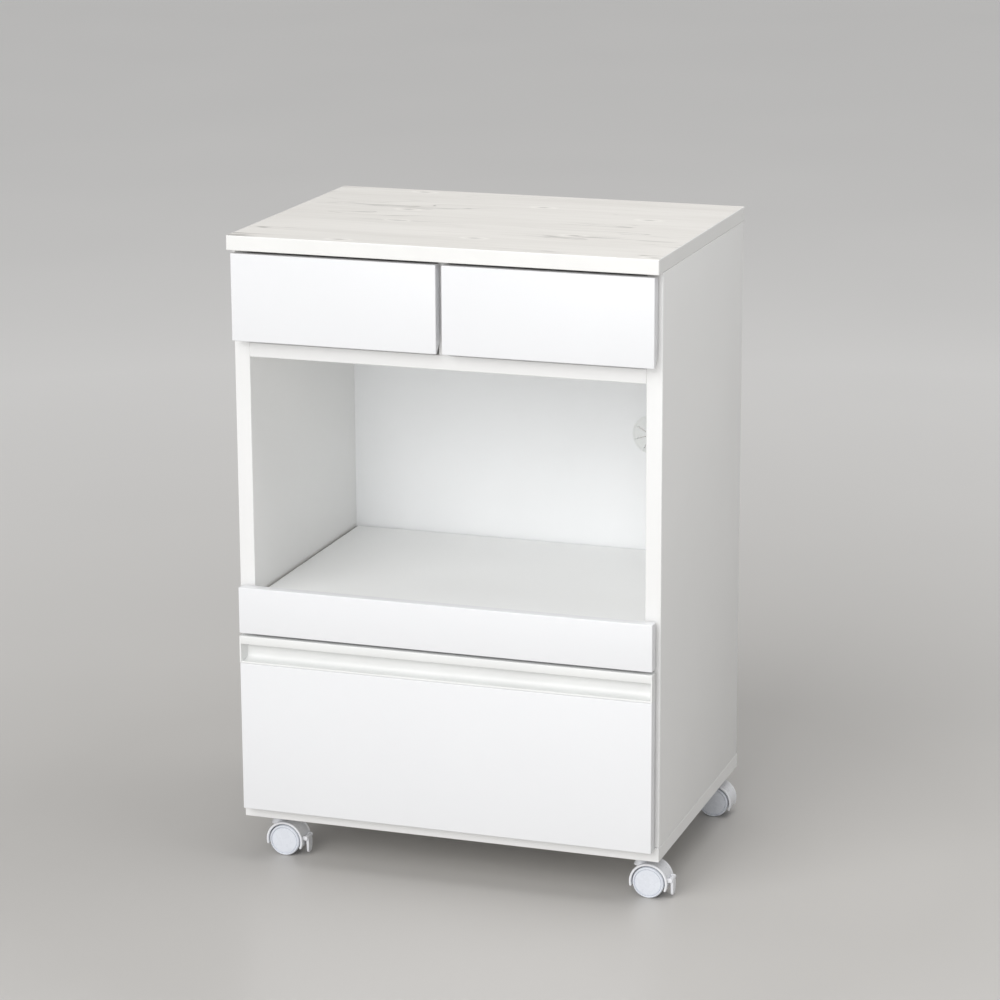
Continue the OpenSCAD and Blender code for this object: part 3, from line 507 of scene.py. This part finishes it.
def whitewashed_wood(settings):
    """Printed whitewashed wood: faint streaks along X, thin dark cracks along the middle level of a long
    noise where a second noise is high, small knots with a pale fleck, and pores pressed into the surface."""
    material = bare_finish("whitewashed_wood", IOR=1.48)
    figure = noise(material, 2.6, distortion=0.6, stretch=(1.0, 9.0, 1.0))
    fine = noise(material, 3.0, 4.0, 0.6, 0.15, (3.0, 110.0, 1.0))
    patches = noise(material, 2.4, stretch=(1.7, 5.0, 1.0))
    broad = spread(figure, 0.35, 0.70, 0.0, 0.26)
    tone = join_values(broad, spread(fine, 0.45, 0.75, 0.0, 0.22))
    streaked = blend_colours(tone, mottle(patches, settings.wood, 0.965), settings.grain)
    level = join_values(join_values(figure, 0.5, "SUBTRACT"), 0.0, "ABSOLUTE")
    thin = spread(level, 0.003, 0.014, 0.62, 0.0)
    cracks = join_values(thin, spread(patches, 0.50, 0.60), "MULTIPLY")
    knot = spots(material, 1.0, (4.2, 9.5, 1.0))
    dark = join_values(cracks, spread(knot, 0.016, 0.042, 0.42, 0.0), "MAXIMUM")
    inked = blend_colours(dark, streaked, toned(settings.grain, 0.50))
    fleck = band(knot, (0.05, 0.07), (0.07, 0.10), 0.6)
    drive(material, "Base Color", blend_colours(fleck, inked, toned(settings.wood, 1.12)))
    vary_gloss(material, fine, 0.40, 0.52)
    pores = join_values(fine, join_values(dark, -0.8, "MULTIPLY"))
    raise_surface(material, pores, 0.00012, 0.7)
    return material


def plated_steel(name, colour, drawn):
    """Zinc-plated steel: rolling lines along one axis, cloudy plating and dull spots."""
    material = bare_finish(name, Metallic=1.0)
    cloud = noise(material, 60.0, 4.0, 0.6)
    lines = noise(material, 40.0, stretch=drawn)
    drive(material, "Base Color", mottle(cloud, colour, 0.8))
    dull = join_values(spread(cloud, 0.3, 0.7, 0.22, 0.36), spread(lines, 0.3, 0.7, 0, 0.1))
    drive(material, "Roughness", dull)
    raise_surface(material, lines, 0.00003, 0.6)
    return material


def hardboard(colour):
    """Painted hardboard: a soft mottle under the paint and a faint pressed texture."""
    material = bare_finish("painted_hardboard", IOR=1.45)
    cloud = noise(material, 5.0, 4.0)
    drive(material, "Base Color", mottle(cloud, colour, 0.97, 0.35, 0.65))
    vary_gloss(material, noise(material, 40.0, 4.0), 0.42, 0.56)
    raise_surface(material, noise(material, 420.0), 0.00009, 0.6)
    return material


def extruded(name, colour, rough):
    """Extruded plastic: faint die lines along X and a soft sheen."""
    material = bare_finish(name, IOR=1.5)
    lines = noise(material, 2.0, stretch=(1.0, 260.0, 260.0))
    drive(material, "Base Color", mottle(noise(material, 14.0, 2.0), colour, 0.965))
    vary_gloss(material, lines, rough - 0.05, rough + 0.05)
    raise_surface(material, lines, 0.00003, 0.7)
    return material


# -------------------- cabinet


class STAND_OT_boards(bpy.types.Operator):
    """White boards of the cabinet and the painted back panels"""

    bl_idname = "stand.boards"
    bl_label = "Cabinet boards"

    def execute(self, context):
        finishes = context.scene.stand_finishes
        tape, front = finishes.tape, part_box("side_left")[0].y
        board = paper_faced("white_board", finishes.board, 0.40, 260.0, 0.00012, tape=tape, front=front)
        dress(board, "bottom_panel", "drawer_shelf", "middle_shelf", "partition")
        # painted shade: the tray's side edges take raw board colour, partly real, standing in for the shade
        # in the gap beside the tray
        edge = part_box("tray_board")[1].x
        # painted light: the tray and its rails take the tray's paler white, which stands in for light inside
        # the bay
        dress(paper_faced("tray_face", finishes.tray, 0.38, 260.0, 0.00010, raw_and_shade_edge=edge), "tray_board")
        dress(paper_faced("rail_face", finishes.tray, 0.38, 260.0, 0.00010), "tray_rails")
        ease = context.scene.stand_fronts.rounding
        for node in ("side_left", "side_right"):
            low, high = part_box(node)
            section = rectangle((low.x, low.y), (high.x, high.y))
            solid = eased_prism(section, low.z, high.z, "z", ease, ease)
            piece(node + "_board", [solid], "cabinet", board, "board_white", node)
        dress(hardboard(finishes.back), "back_panel_upper", "back_panel_lower")
        return {"FINISHED"}


class STAND_OT_worktop(bpy.types.Operator):
    """Whitewashed worktop and the white tape round its edge"""

    bl_idname = "stand.worktop"
    bl_label = "Worktop"

    def execute(self, context):
        finishes = context.scene.stand_finishes
        dress(whitewashed_wood(finishes), "top_panel")
        dress(extruded("edge_tape", finishes.band, 0.36), "top_edge_band")
        return {"FINISHED"}


class STAND_OT_fronts(bpy.types.Operator):
    """Drawer fronts and the tray's front, with softly rounded edges"""

    bl_idname = "stand.fronts"
    bl_label = "Fronts"

    def execute(self, context):
        sizes = context.scene.stand_fronts
        # painted shade: the fronts take the darker front white, which holds down their highlights
        finish = paper_faced("satin_front", context.scene.stand_finishes.front, 0.30, 150.0, 0.00008, 0.985)
        for body in ("left_drawer", "right_drawer", "tray", "lower_drawer"):
            node = body + "_front"
            low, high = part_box(node)
            section = rectangle((low.y, low.z), (high.y, high.z))
            if body in ("left_drawer", "right_drawer"):  # a finger bevel behind the lower edge
                section[1:2] = [(high.y - sizes.bevel_depth, low.z), (high.y, low.z + sizes.bevel_height)]
            solid = eased_prism(section, low.x, high.x, "x", sizes.rounding, sizes.rounding)
            piece(node + "_panel", [solid], body, finish, "front_white", node)
        return {"FINISHED"}


def channel_section(low, high, s):
    """Two matching lines (y, z) of the channel's section, outside and inside, from the lower edge of the
    lip over the top, down the back, round the hollow and out to the front edge of the floor."""
    front, rear, top = low.y, high.y, high.z
    bottom, lip, wall = top - s.height, top - s.lip_height, rear - s.back_wall
    floor, t, r, soft, nib = bottom + s.floor, s.lip_wall, s.hollow, s.corner, 0.0003
    turn = np.linspace(0, math.pi / 2, 6)

    def quarter(y, z, radius, start):
        """Clockwise quarter of a circle; at radius 0 the same point over and over, for a sharp corner."""
        return np.stack([y + radius * np.cos(start - turn), z + radius * np.sin(start - turn)], -1)

    outer = [
        [(front + t / 2, lip), (front + nib, lip + nib), (front, lip + t / 2)],
        quarter(front + soft, top - soft, soft, math.pi),
        quarter(rear - soft, top - soft, soft, math.pi / 2),
        [(rear, floor + r)],
        quarter(rear - soft, bottom + soft, soft, 0),
        [(front + soft, bottom), (front + 0.00035, bottom + 0.00035), (front, bottom + soft)],
        [(front, bottom + s.floor / 2)],
    ]
    inner = [
        [(front + t / 2, lip), (front + t - nib, lip + nib), (front + t, lip + t / 2)],
        quarter(front + t, top - t, 0, 0),
        quarter(wall, top - t, 0, 0),
        [(wall, floor + r)],
        quarter(wall - r, floor + r, r, 0),
        [(front + 0.0020, floor), (front + 0.0010, floor), (front + nib, floor - nib)],
        [(front, bottom + s.floor / 2)],
    ]
    return np.concatenate(outer), np.concatenate(inner)


class STAND_OT_handle(bpy.types.Operator):
    """Handle channel along the top of the lower drawer, and its end caps"""

    bl_idname = "stand.handle"
    bl_label = "Handle channel"

    def execute(self, context):
        colour = context.scene.stand_finishes.handle
        finish = extruded("handle_plastic", colour, 0.33)
        low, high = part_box("handle_channel")
        stations = np.linspace(low.x, high.x, 25)
        lines = channel_section(low, high, context.scene.stand_handle)
        channel = shell_between(*(carried(line, stations, "x") for line in lines))
        name = "handle_channel_moulding"
        piece(name, [channel], "lower_drawer", finish, "handle_white", "handle_channel")
        dress(moulded("handle_cap_plastic", colour, 0.36), "handle_caps")
        return {"FINISHED"}


def port_ring(s, low, high):
    """Profile of the port's ring about the Y axis: recess for the membrane, gently rounded flange, sleeve
    through the panel and bore."""
    edge, recess = (high.x - low.x) / 2, s.rim + 0.0001
    front, face = low.y, low.y + s.flange
    seat = face - 0.0002
    return [
        (recess, seat), (recess, front + 0.0003), (recess + 0.0002, front + 0.0001), (recess + 0.0005, front),
        (edge - 0.0020, front + 0.0001), (edge - 0.0009, front + 0.0005), (edge, front + 0.0012),
        (edge, face), (s.sleeve, face), (s.sleeve, high.y), (s.bore, high.y), (s.bore, seat), (recess, seat),
    ]


def port_petals(s, centre, front):
    """Flaps of the membrane: a flap's half angle is half its share less arcsin(slit / 2 / radius), and
    its tip stands out by lift * t^2, where t goes from 0 at the rim to 1 at the hole."""
    half, share = s.rubber / 2, 2 * math.pi / s.petals
    middle = front + s.step + half
    radius, full_r = rounded_span(s.hole, s.rim, half, 3, 12)
    across, full_a = rounded_span(-1, 1, 0.08, 3, 8)
    radius = radius[:, None]
    spare = np.where(radius < s.slit_end, np.arcsin(s.slit / 2 / radius), 0.00002)
    t = (s.rim - radius) / (s.rim - s.hole)
    thick = half * full_r[:, None] * full_a
    flaps = []
    for k in range(s.petals):
        lift = s.curl * (0.55 + 0.45 * math.sin(2.3 * k + 0.6))
        out = lift * t**2 * (1 - 0.25 * across * math.cos(1.7 * k))
        angle = -s.start - (k + 0.5) * share + across * (share / 2 - spare)
        x, z = centre[0] + radius * np.cos(angle), centre[2] + radius * np.sin(angle)
        flaps.append(shell_between(*(lattice(x, middle - out + gap, z) for gap in (-thick, thick))))
    return flaps


class STAND_OT_cable_port(bpy.types.Operator):
    """Cable port: moulded ring and slit rubber membrane"""

    bl_idname = "stand.cable_port"
    bl_label = "Cable port"

    def execute(self, context):
        sizes, finishes = context.scene.stand_port, context.scene.stand_finishes
        low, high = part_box("cable_port_ring")
        centre = np.array([(low.x + high.x) / 2, 0, (low.z + high.z) / 2])
        ring = turned(port_ring(sizes, low, high), centre, 96)
        plastic = moulded("port_plastic", finishes.port, 0.34)
        piece("cable_port_moulding", [ring], "cabinet", plastic, "port_white", "cable_port_ring")
        flaps = port_petals(sizes, centre, low.y)
        rubber = moulded("port_rubber", finishes.membrane, 0.62, 1500.0, 0.00003)
        piece("cable_port_petals", flaps, "cabinet", rubber, "membrane_grey", "cable_port_flaps")
        return {"FINISHED"}


# -------------------- drawers and slides


class STAND_OT_drawer_boxes(bpy.types.Operator):
    """Sides, backs and bottoms of the drawer boxes, and the plastic guides they run on"""

    bl_idname = "stand.drawer_boxes"
    bl_label = "Drawer boxes"

    def execute(self, context):
        finishes = context.scene.stand_finishes
        box = paper_faced("drawer_board", finishes.box, 0.46, 320.0, 0.00014)
        for drawer in ("left_drawer", "right_drawer", "lower_drawer"):
            dress(box, drawer + "_sides", drawer + "_back", drawer + "_bottom")
        dress(moulded("guide_plastic", finishes.guide, 0.42), "drawer_guides")
        return {"FINISHED"}


def folded_channel(web, tips, low, high, s):
    """Sheet-steel channel carried along Y: the section runs from one flange's tip through a quarter bend,
    up the web and through a second bend to the other tip, as a line bend from the corner outside and
    bend - steel inside. web and tips are X."""
    toward = math.copysign(1, tips - web)
    turn = np.linspace(0, math.pi / 2, 6)
    lines = []
    for depth in (0, s.steel):
        r = s.bend - depth
        lower = [web + toward * (s.bend - r * np.sin(turn)), low.z + depth + r * (1 - np.cos(turn))]
        lower = np.stack(lower, -1)
        upper = lower[::-1] * (1, -1) + (0, low.z + high.z)
        lines.append(np.concatenate([[(tips, low.z + depth)], lower, upper, [(tips, high.z - depth)]]))
    stations = np.linspace(low.y, high.y, 9)
    return shell_between(*(carried(line, stations, "y") for line in lines))


class STAND_OT_slides(bpy.types.Operator):
    """Zinc-plated slides of the tray and the lower drawer, folded from sheet steel"""

    bl_idname = "stand.slides"
    bl_label = "Slides"

    def execute(self, context):
        sizes = context.scene.stand_slides
        steel = plated_steel("slide_zinc", context.scene.stand_finishes.zinc, (6.0, 0.3, 6.0))
        for place, drawer in (("tray", "tray"), ("lower", "lower_drawer")):
            for member, body, flange, web_outside in (
                ("outer", "cabinet", sizes.outer_flange, True),
                ("mid", place + "_slide_middle", sizes.middle_flange, True),
                ("inner", drawer, sizes.inner_flange, False),
            ):
                node = f"{place}_slide_{member}"
                low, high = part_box(node)
                web, tips = (high.x, high.x - flange) if web_outside else (high.x - flange, high.x)
                solids = [folded_channel(side * web, side * tips, low, high, sizes) for side in (-1, 1)]
                piece(node + "_channel", solids, body, steel, "slide_steel", node)
        return {"FINISHED"}


class STAND_OT_fasteners(bpy.types.Operator):
    """Cam locks, long screws, caster plates and their screws"""

    bl_idname = "stand.fasteners"
    bl_label = "Fasteners"

    def execute(self, context):
        colour = context.scene.stand_finishes.screw
        screw = plated_steel("screw_steel", colour, (3.0, 3.0, 0.6))
        dress(screw, "cam_locks", "base_screws", "slide_screws", "caster_screws")
        dress(plated_steel("plate_steel", colour, (4.0, 0.5, 4.0)), "caster_plates")
        return {"FINISHED"}


def bumper_places(node, radius):
    """Middles of a node's round bumpers: two in each column, at the ends of its points' height. Columns
    stand so far apart that X rounded to a tenth of a metre tells them apart."""
    points = np.array([v.co for v in frame["nodes"][node].data.vertices])
    for x in sorted({round(float(x), 1) for x in points[:, 0]}):
        near = points[np.abs(points[:, 0] - x) < 0.05]
        for z in (near[:, 2].min() + radius, near[:, 2].max() - radius):
            yield (near[:, 0].min() + near[:, 0].max()) / 2, 0, z


class STAND_OT_bumpers(bpy.types.Operator):
    """Clear domed bumpers behind the fronts"""

    bl_idname = "stand.bumpers"
    bl_label = "Bumpers"

    def execute(self, context):
        colour, radius = context.scene.stand_finishes.bumper, 0.004
        gel = moulded("bumper_gel", colour, 0.22, 700.0, 0.00002, 0.97, Transmission_Weight=0.35, IOR=1.45)
        for drawer in ("left_drawer", "right_drawer", "tray", "lower_drawer"):
            node = drawer + "_bumpers"
            low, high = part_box(node)
            y = low.y
            dome = [(0, y), (radius, y), (radius, y + 0.0012), (radius * 0.93, y + 0.0026)]
            dome += [(radius * 0.72, y + 0.0038), (radius * 0.4, high.y - 0.0002), (0, high.y)]
            domes = [turned(dome, place, 28) for place in bumper_places(node, radius)]
            piece(drawer + "_bumper_domes", domes, drawer, gel, "bumper_clear", node)
        return {"FINISHED"}


# -------------------- casters

# Section of a wheel. Pairs start with a radius, which in WHEEL_TREAD and WHEEL_SHOULDER is counted in from
# the wheel's, and end with a depth under the outer face, or in WHEEL_SHOULDER and WHEEL_CORE the inner one.
WHEEL_FACE = (
    (0, 0.0003), (0.006, 0.00032), (0.012, 0.0004), (0.0165, 0.0005), (0.0180, 0.0007), (0.0184, 0.0011),
    (0.0185, 0.0020), (0.0191, 0.0020), (0.0192, 0.0011), (0.0194, 0.0004), (0.0198, 0.0001), (0.0201, 0),
)
WHEEL_TREAD = ((0.0013, 0.0003), (0.0006, 0.0008), (0.0002, 0.0017), (0, 0.0028))
WHEEL_SHOULDER = ((0, 0.0026), (0.0003, 0.0014), (0.0012, 0.0005), (0.0024, 0))
WHEEL_CORE = ((0.0178, 0), (0.0172, 0.0030), (0.0080, 0.0030), (0.0074, 0))
CAP_DEPTH = 0.0018  # inner end of the axle's bore behind the outer face
CHAMFER = 0.0006  # of the hood's hub and the lever's barrel
EAR = 0.0026  # thickness of an ear beside the brake lever


def joint_place(key, joint):
    """Place of a caster's joint."""
    return np.array(JOINTS[f"caster_{key}_{joint}"]["pos_m"])


def caster_place(key):
    """Swivel's place on the floor and the sign of the side that the wheels trail to."""
    swivel, axle = joint_place(key, "swivel"), joint_place(key, "roll")
    return swivel * (1, 1, 0), math.copysign(1, axle[0] - swivel[0])


def at_caster(solids, key):
    """Moves solids made about the swivel's axis, trailing to +X, to their caster: half a turn or none."""
    place, sign = caster_place(key)
    return [(points * (sign, sign, 1) + place, faces) for points, faces in solids]


def round_axle(s, angle, radius, across):
    """Grid about the axle, a row for each angle: x = trail + radius * cos(angle), y = across and
    z = wheel radius + radius * sin(angle)."""
    angle = angle[:, None]
    return lattice(s.trail + radius * np.cos(angle), across, s.wheel_radius + radius * np.sin(angle))


def hood_fender(s):
    """Arc about the axle: radius = middle of the wall, angle from the rear end to the front end, both
    edges and both ends rounded to the wall's half thickness. Between the two rims the outside sinks by
    the bead's height, as a smooth step of the distance from the rim."""
    half = (s.hood_outside - s.hood_inside) / 2
    middle = (s.hood_outside + s.hood_inside) / 2
    angle, full_a = rounded_span(s.fender_low, s.fender_high, half / middle, 4, 56)
    across, full_y = rounded_span(-s.hood_half, s.hood_half, half, 4, 22)
    inward = np.clip((s.hood_half - np.abs(across) - s.bead) / 0.0014, 0, 1)
    sunk = s.bead_rise * inward**2 * (3 - 2 * inward)
    thick = half * full_a[:, None] * full_y
    return shell_between(*(round_axle(s, angle, middle + gap, across) for gap in (thick - sunk, -thick)))


def hood_web(s):
    """Wall between the wheels: a fan from the axle's bore to the fender, eased along its free edges."""
    angle, full = rounded_span(s.fender_low, s.fender_high, 0.06, 3, 48)
    radius = np.linspace(s.axle_bore, s.hood_inside + 0.0008, 7)
    depth = (s.web_half - 0.0012 * (1 - full))[:, None]
    return shell_between(*(round_axle(s, angle, radius, side * depth) for side in (1, -1)))


def hood_solids(s):
    """Fender, web, hub and flared neck of one hood."""
    w, hub, pin = s.web_half, s.hub_radius, s.kingpin_bore
    barrel = mirrored([(s.hub_bore, w), (hub - CHAMFER, w), (hub, w - CHAMFER)])
    low, top, r = s.wheel_radius + 0.0205, s.neck_top, s.neck_radius
    neck = [
        (pin, low), (r + 0.0022, low), (r + 0.0014, low + 0.0015), (r + 0.0006, low + 0.0035),
        (r, low + 0.006), (r, top - 0.0010), (r - 0.0003, top - 0.0003), (r - 0.0010, top),
        (pin, top), (pin, low),
    ]
    return [
        hood_fender(s),
        hood_web(s),
        turned(barrel + barrel[:1], (s.trail, 0, s.wheel_radius), 40),
        turned(neck, (0, 0, 0), 48, "z"),
    ]


def wheel_solids(s):
    """Two wheels turned about the axle: flat cap, ring groove, raised rim and a rounded tread."""
    radius, outer, inner, bore = s.wheel_radius, s.wheel_outside, s.wheel_inside, s.axle_bore
    profile = [(r, outer - d) for r, d in WHEEL_FACE]
    profile += [(radius - r, outer - d) for r, d in WHEEL_TREAD]
    profile += [(radius - r, inner + d) for r, d in WHEEL_SHOULDER]
    profile += [(r, inner + d) for r, d in WHEEL_CORE]
    profile += [(bore, inner), (bore, outer - CAP_DEPTH), (0, outer - CAP_DEPTH)]
    centre = (s.trail, 0, radius)
    return [turned([(r, side * y) for r, y in profile], centre, 72) for side in (1, -1)]


def lever_solids(s, pivot):
    """Brake lever hanging from its pivot: a thick paddle whose half width shrinks with the square of the
    way down and turns in along an ellipse at both ends, lightly dished along its middle, with the barrel
    and trunnions it turns on."""
    way, full_u = rounded_span(0, 1, 0.06, 5, 18)
    v, full_v = rounded_span(-1, 1, 0.15, 4, 8)
    u, w = way[:, None], s.lever_width / 2
    foot, head = np.maximum(u - 0.76, 0) / 0.24, np.maximum(0.22 - u, 0) / 0.22
    width = w * (1 - 0.12 * u**2) * (np.sqrt(1 - 0.84 * foot**2) * np.sqrt(1 - 0.70 * head**2))
    down = pivot[2] - 0.0005 - u * (s.lever_length - 0.0005)
    bow = pivot[0] + 0.0012 + 0.0004 * np.sin(math.pi * u)
    thick = (0.0022 - 0.0005 * u) * full_u[:, None] * full_v
    dish = np.where(thick > 0, 0.0003 * (1 - v**2), 0)
    faces = (lattice(x, pivot[1] + v * width, down) for x in (bow + thick - dish, bow - thick))
    pin, end = 0.0015, w + 0.0028
    barrel = [(0, end), (pin, end), (pin, w), (0.0030 - CHAMFER, w), (0.0030, w - CHAMFER)]
    return [shell_between(*faces), turned(mirrored(barrel), pivot, 28)]


def ear_solids(s, pivot):
    """Two rounded ears on the fender, one on each side of the brake lever."""
    r = 0.003
    corners = rectangle((s.trail + s.hood_inside + 0.0005, pivot[2] - r), (pivot[0] + r, pivot[2] + r))
    inner = s.lever_width / 2 + 0.0005
    return [
        eased_prism(corners, low, high, "y", r - 0.00002, 0.0005, 5)
        for low, high in ((inner, inner + EAR), (-inner - EAR, -inner))
    ]


class STAND_OT_casters(bpy.types.Operator):
    """Twin-wheel casters: hoods with fenders, wheels, axles and the front two brake levers"""

    bl_idname = "stand.casters"
    bl_label = "Casters"

    def execute(self, context):
        s, finishes = context.scene.stand_casters, context.scene.stand_finishes
        shell = moulded("caster_shell", finishes.shell, 0.30, 800.0, 0.00003, 0.975)
        tread = moulded("caster_wheel", finishes.wheel, 0.27, 1000.0, 0.00003, 0.985)
        axle = plated_steel("axle_steel", finishes.screw, (0.5, 3.0, 0.5))
        for key in CASTERS:
            name, solids = f"caster_{key}", hood_solids(s)
            if f"caster_{key}_brake_lift" in JOINTS:
                place, sign = caster_place(key)
                pivot = (joint_place(key, "brake_lift") - place) * (sign, sign, 1)
                solids += ear_solids(s, pivot)
                lever, node = at_caster(lever_solids(s, pivot), key), name + "_lever"
                piece(name + "_brake_pedal", lever, name + "_brake", shell, "caster_white", node)
            hood = at_caster(solids, key)
            piece(name + "_hood_shell", hood, name, shell, "caster_white", name + "_hood")
            wheels, node = at_caster(wheel_solids(s), key), name + "_wheels"
            piece(name + "_twin_wheels", wheels, name + "_roller", tread, "wheel_grey", node)
            dress(axle, name + "_axle")
        return {"FINISHED"}


# -------------------- stage

FLOOR_RADIUS, CLIP_END, SENSOR = 60, 200, 36  # metres, metres and millimetres


def soft_light(name, kind, place, aim, power, size):
    """Light of a kind turned towards a point; size is in metres, or the sun's angle."""
    data = bpy.data.lights.new(name, kind)
    data.energy = power
    setattr(data, "size" if kind == "AREA" else "angle", size)
    obj = bpy.data.objects.new(name, data)
    obj.location = place
    obj.rotation_euler = (Vector(aim) - Vector(place)).to_track_quat("-Z", "Y").to_euler()
    bpy.context.scene.collection.objects.link(obj)


class STAND_OT_stage(bpy.types.Operator):
    """Plain pale floor, soft studio light and the camera"""

    bl_idname = "stand.stage"
    bl_label = "Stage"

    def execute(self, context):
        scene, s = context.scene, context.scene.stand_stage
        angle = np.linspace(0, 2 * math.pi, 96, endpoint=False)
        disc = lattice(FLOOR_RADIUS * np.cos(angle), FLOOR_RADIUS * np.sin(angle), 0)
        mesh = bpy.data.meshes.new("floor")
        mesh.from_pydata(disc.tolist(), [], [list(range(len(disc)))])
        floor = bpy.data.objects.new("floor", mesh)
        finish = bare_finish("floor_finish", Specular_IOR_Level=0.25)
        cloud = noise(finish, 1.4)
        far = spread(distance_out(finish), 0.7, 3.2)
        tone = blend_colours(far, mottle(cloud, s.floor, 0.97), s.far_floor)
        drive(finish, "Base Color", tone)
        vary_gloss(finish, cloud, 0.30, 0.38)
        mesh.materials.append(finish)
        scene.collection.objects.link(floor)

        world = bpy.data.worlds.new("studio")
        world.use_nodes = True
        background = world.node_tree.nodes["Background"]
        background.inputs["Color"].default_value = (*s.sky, 1)
        background.inputs["Strength"].default_value = s.sky_strength
        scene.world = world
        scene.view_settings.view_transform = "Standard"

        soft_light("key_light", "SUN", (-1.2, -3.1, 2.55), (0, 0, 0.3), s.key_strength, math.radians(48))
        soft_light("front_light", "AREA", (0.4, -4.2, 1.6), (0, 0, 0.5), s.front_power, 3.0)
        soft_light("side_light", "AREA", (2.2, -0.6, 2.5), (0, 0, 0.5), s.side_power, 2.0)
        soft_light("overhead_light", "AREA", (0.7, 0.1, 3.4), (0.2, 0, 0.4), s.top_power, 2.6)

        data = bpy.data.cameras.new("camera")
        data.lens, data.sensor_width, data.clip_end = s.lens, SENSOR, CLIP_END
        data.shift_x = data.shift_y = s.shift
        camera = bpy.data.objects.new("camera", data)
        camera.location, camera.rotation_euler = s.camera_place, s.camera_turn
        scene.collection.objects.link(camera)
        scene.camera = camera
        return {"FINISHED"}


# -------------------- add-on

OPERATORS = (
    STAND_OT_stage,
    STAND_OT_boards,
    STAND_OT_worktop,
    STAND_OT_fronts,
    STAND_OT_handle,
    STAND_OT_cable_port,
    STAND_OT_drawer_boxes,
    STAND_OT_slides,
    STAND_OT_fasteners,
    STAND_OT_bumpers,
    STAND_OT_casters,
)
SETTINGS = {
    "stand_finishes": StandFinishes,
    "stand_fronts": FrontSizes,
    "stand_handle": HandleSizes,
    "stand_slides": SlideSizes,
    "stand_port": PortSizes,
    "stand_casters": CasterSizes,
    "stand_stage": StageSettings,
}


class STAND_PT_panel(bpy.types.Panel):
    """Lists the stand's settings and the operators that build it"""

    bl_idname = "STAND_PT_panel"
    bl_label = "Microwave Stand"
    bl_space_type = "VIEW_3D"
    bl_region_type = "UI"
    bl_category = "Stand"

    def draw(self, context):
        for setting in SETTINGS:
            box = self.layout.box()
            group = getattr(context.scene, setting)
            box.label(text=group.bl_rna.description)
            for name in SETTINGS[setting].__annotations__:
                box.prop(group, name)
        for operator in OPERATORS:
            self.layout.operator(operator.bl_idname)


CLASSES = (*SETTINGS.values(), *OPERATORS, STAND_PT_panel)


def register():
    """Registers the settings, the operators and the panel."""
    for group in CLASSES:
        bpy.utils.register_class(group)
    for setting, group in SETTINGS.items():
        setattr(bpy.types.Scene, setting, PointerProperty(type=group))


def unregister():
    """Takes them all away again."""
    for setting in SETTINGS:
        delattr(bpy.types.Scene, setting)
    for group in reversed(CLASSES):
        bpy.utils.unregister_class(group)


def main():
    """Builds every piece in order."""
    register()
    for operator in OPERATORS:
        family, name = operator.bl_idname.split(".")
        getattr(getattr(bpy.ops, family), name)()


if __name__ == "__main__":
    main()
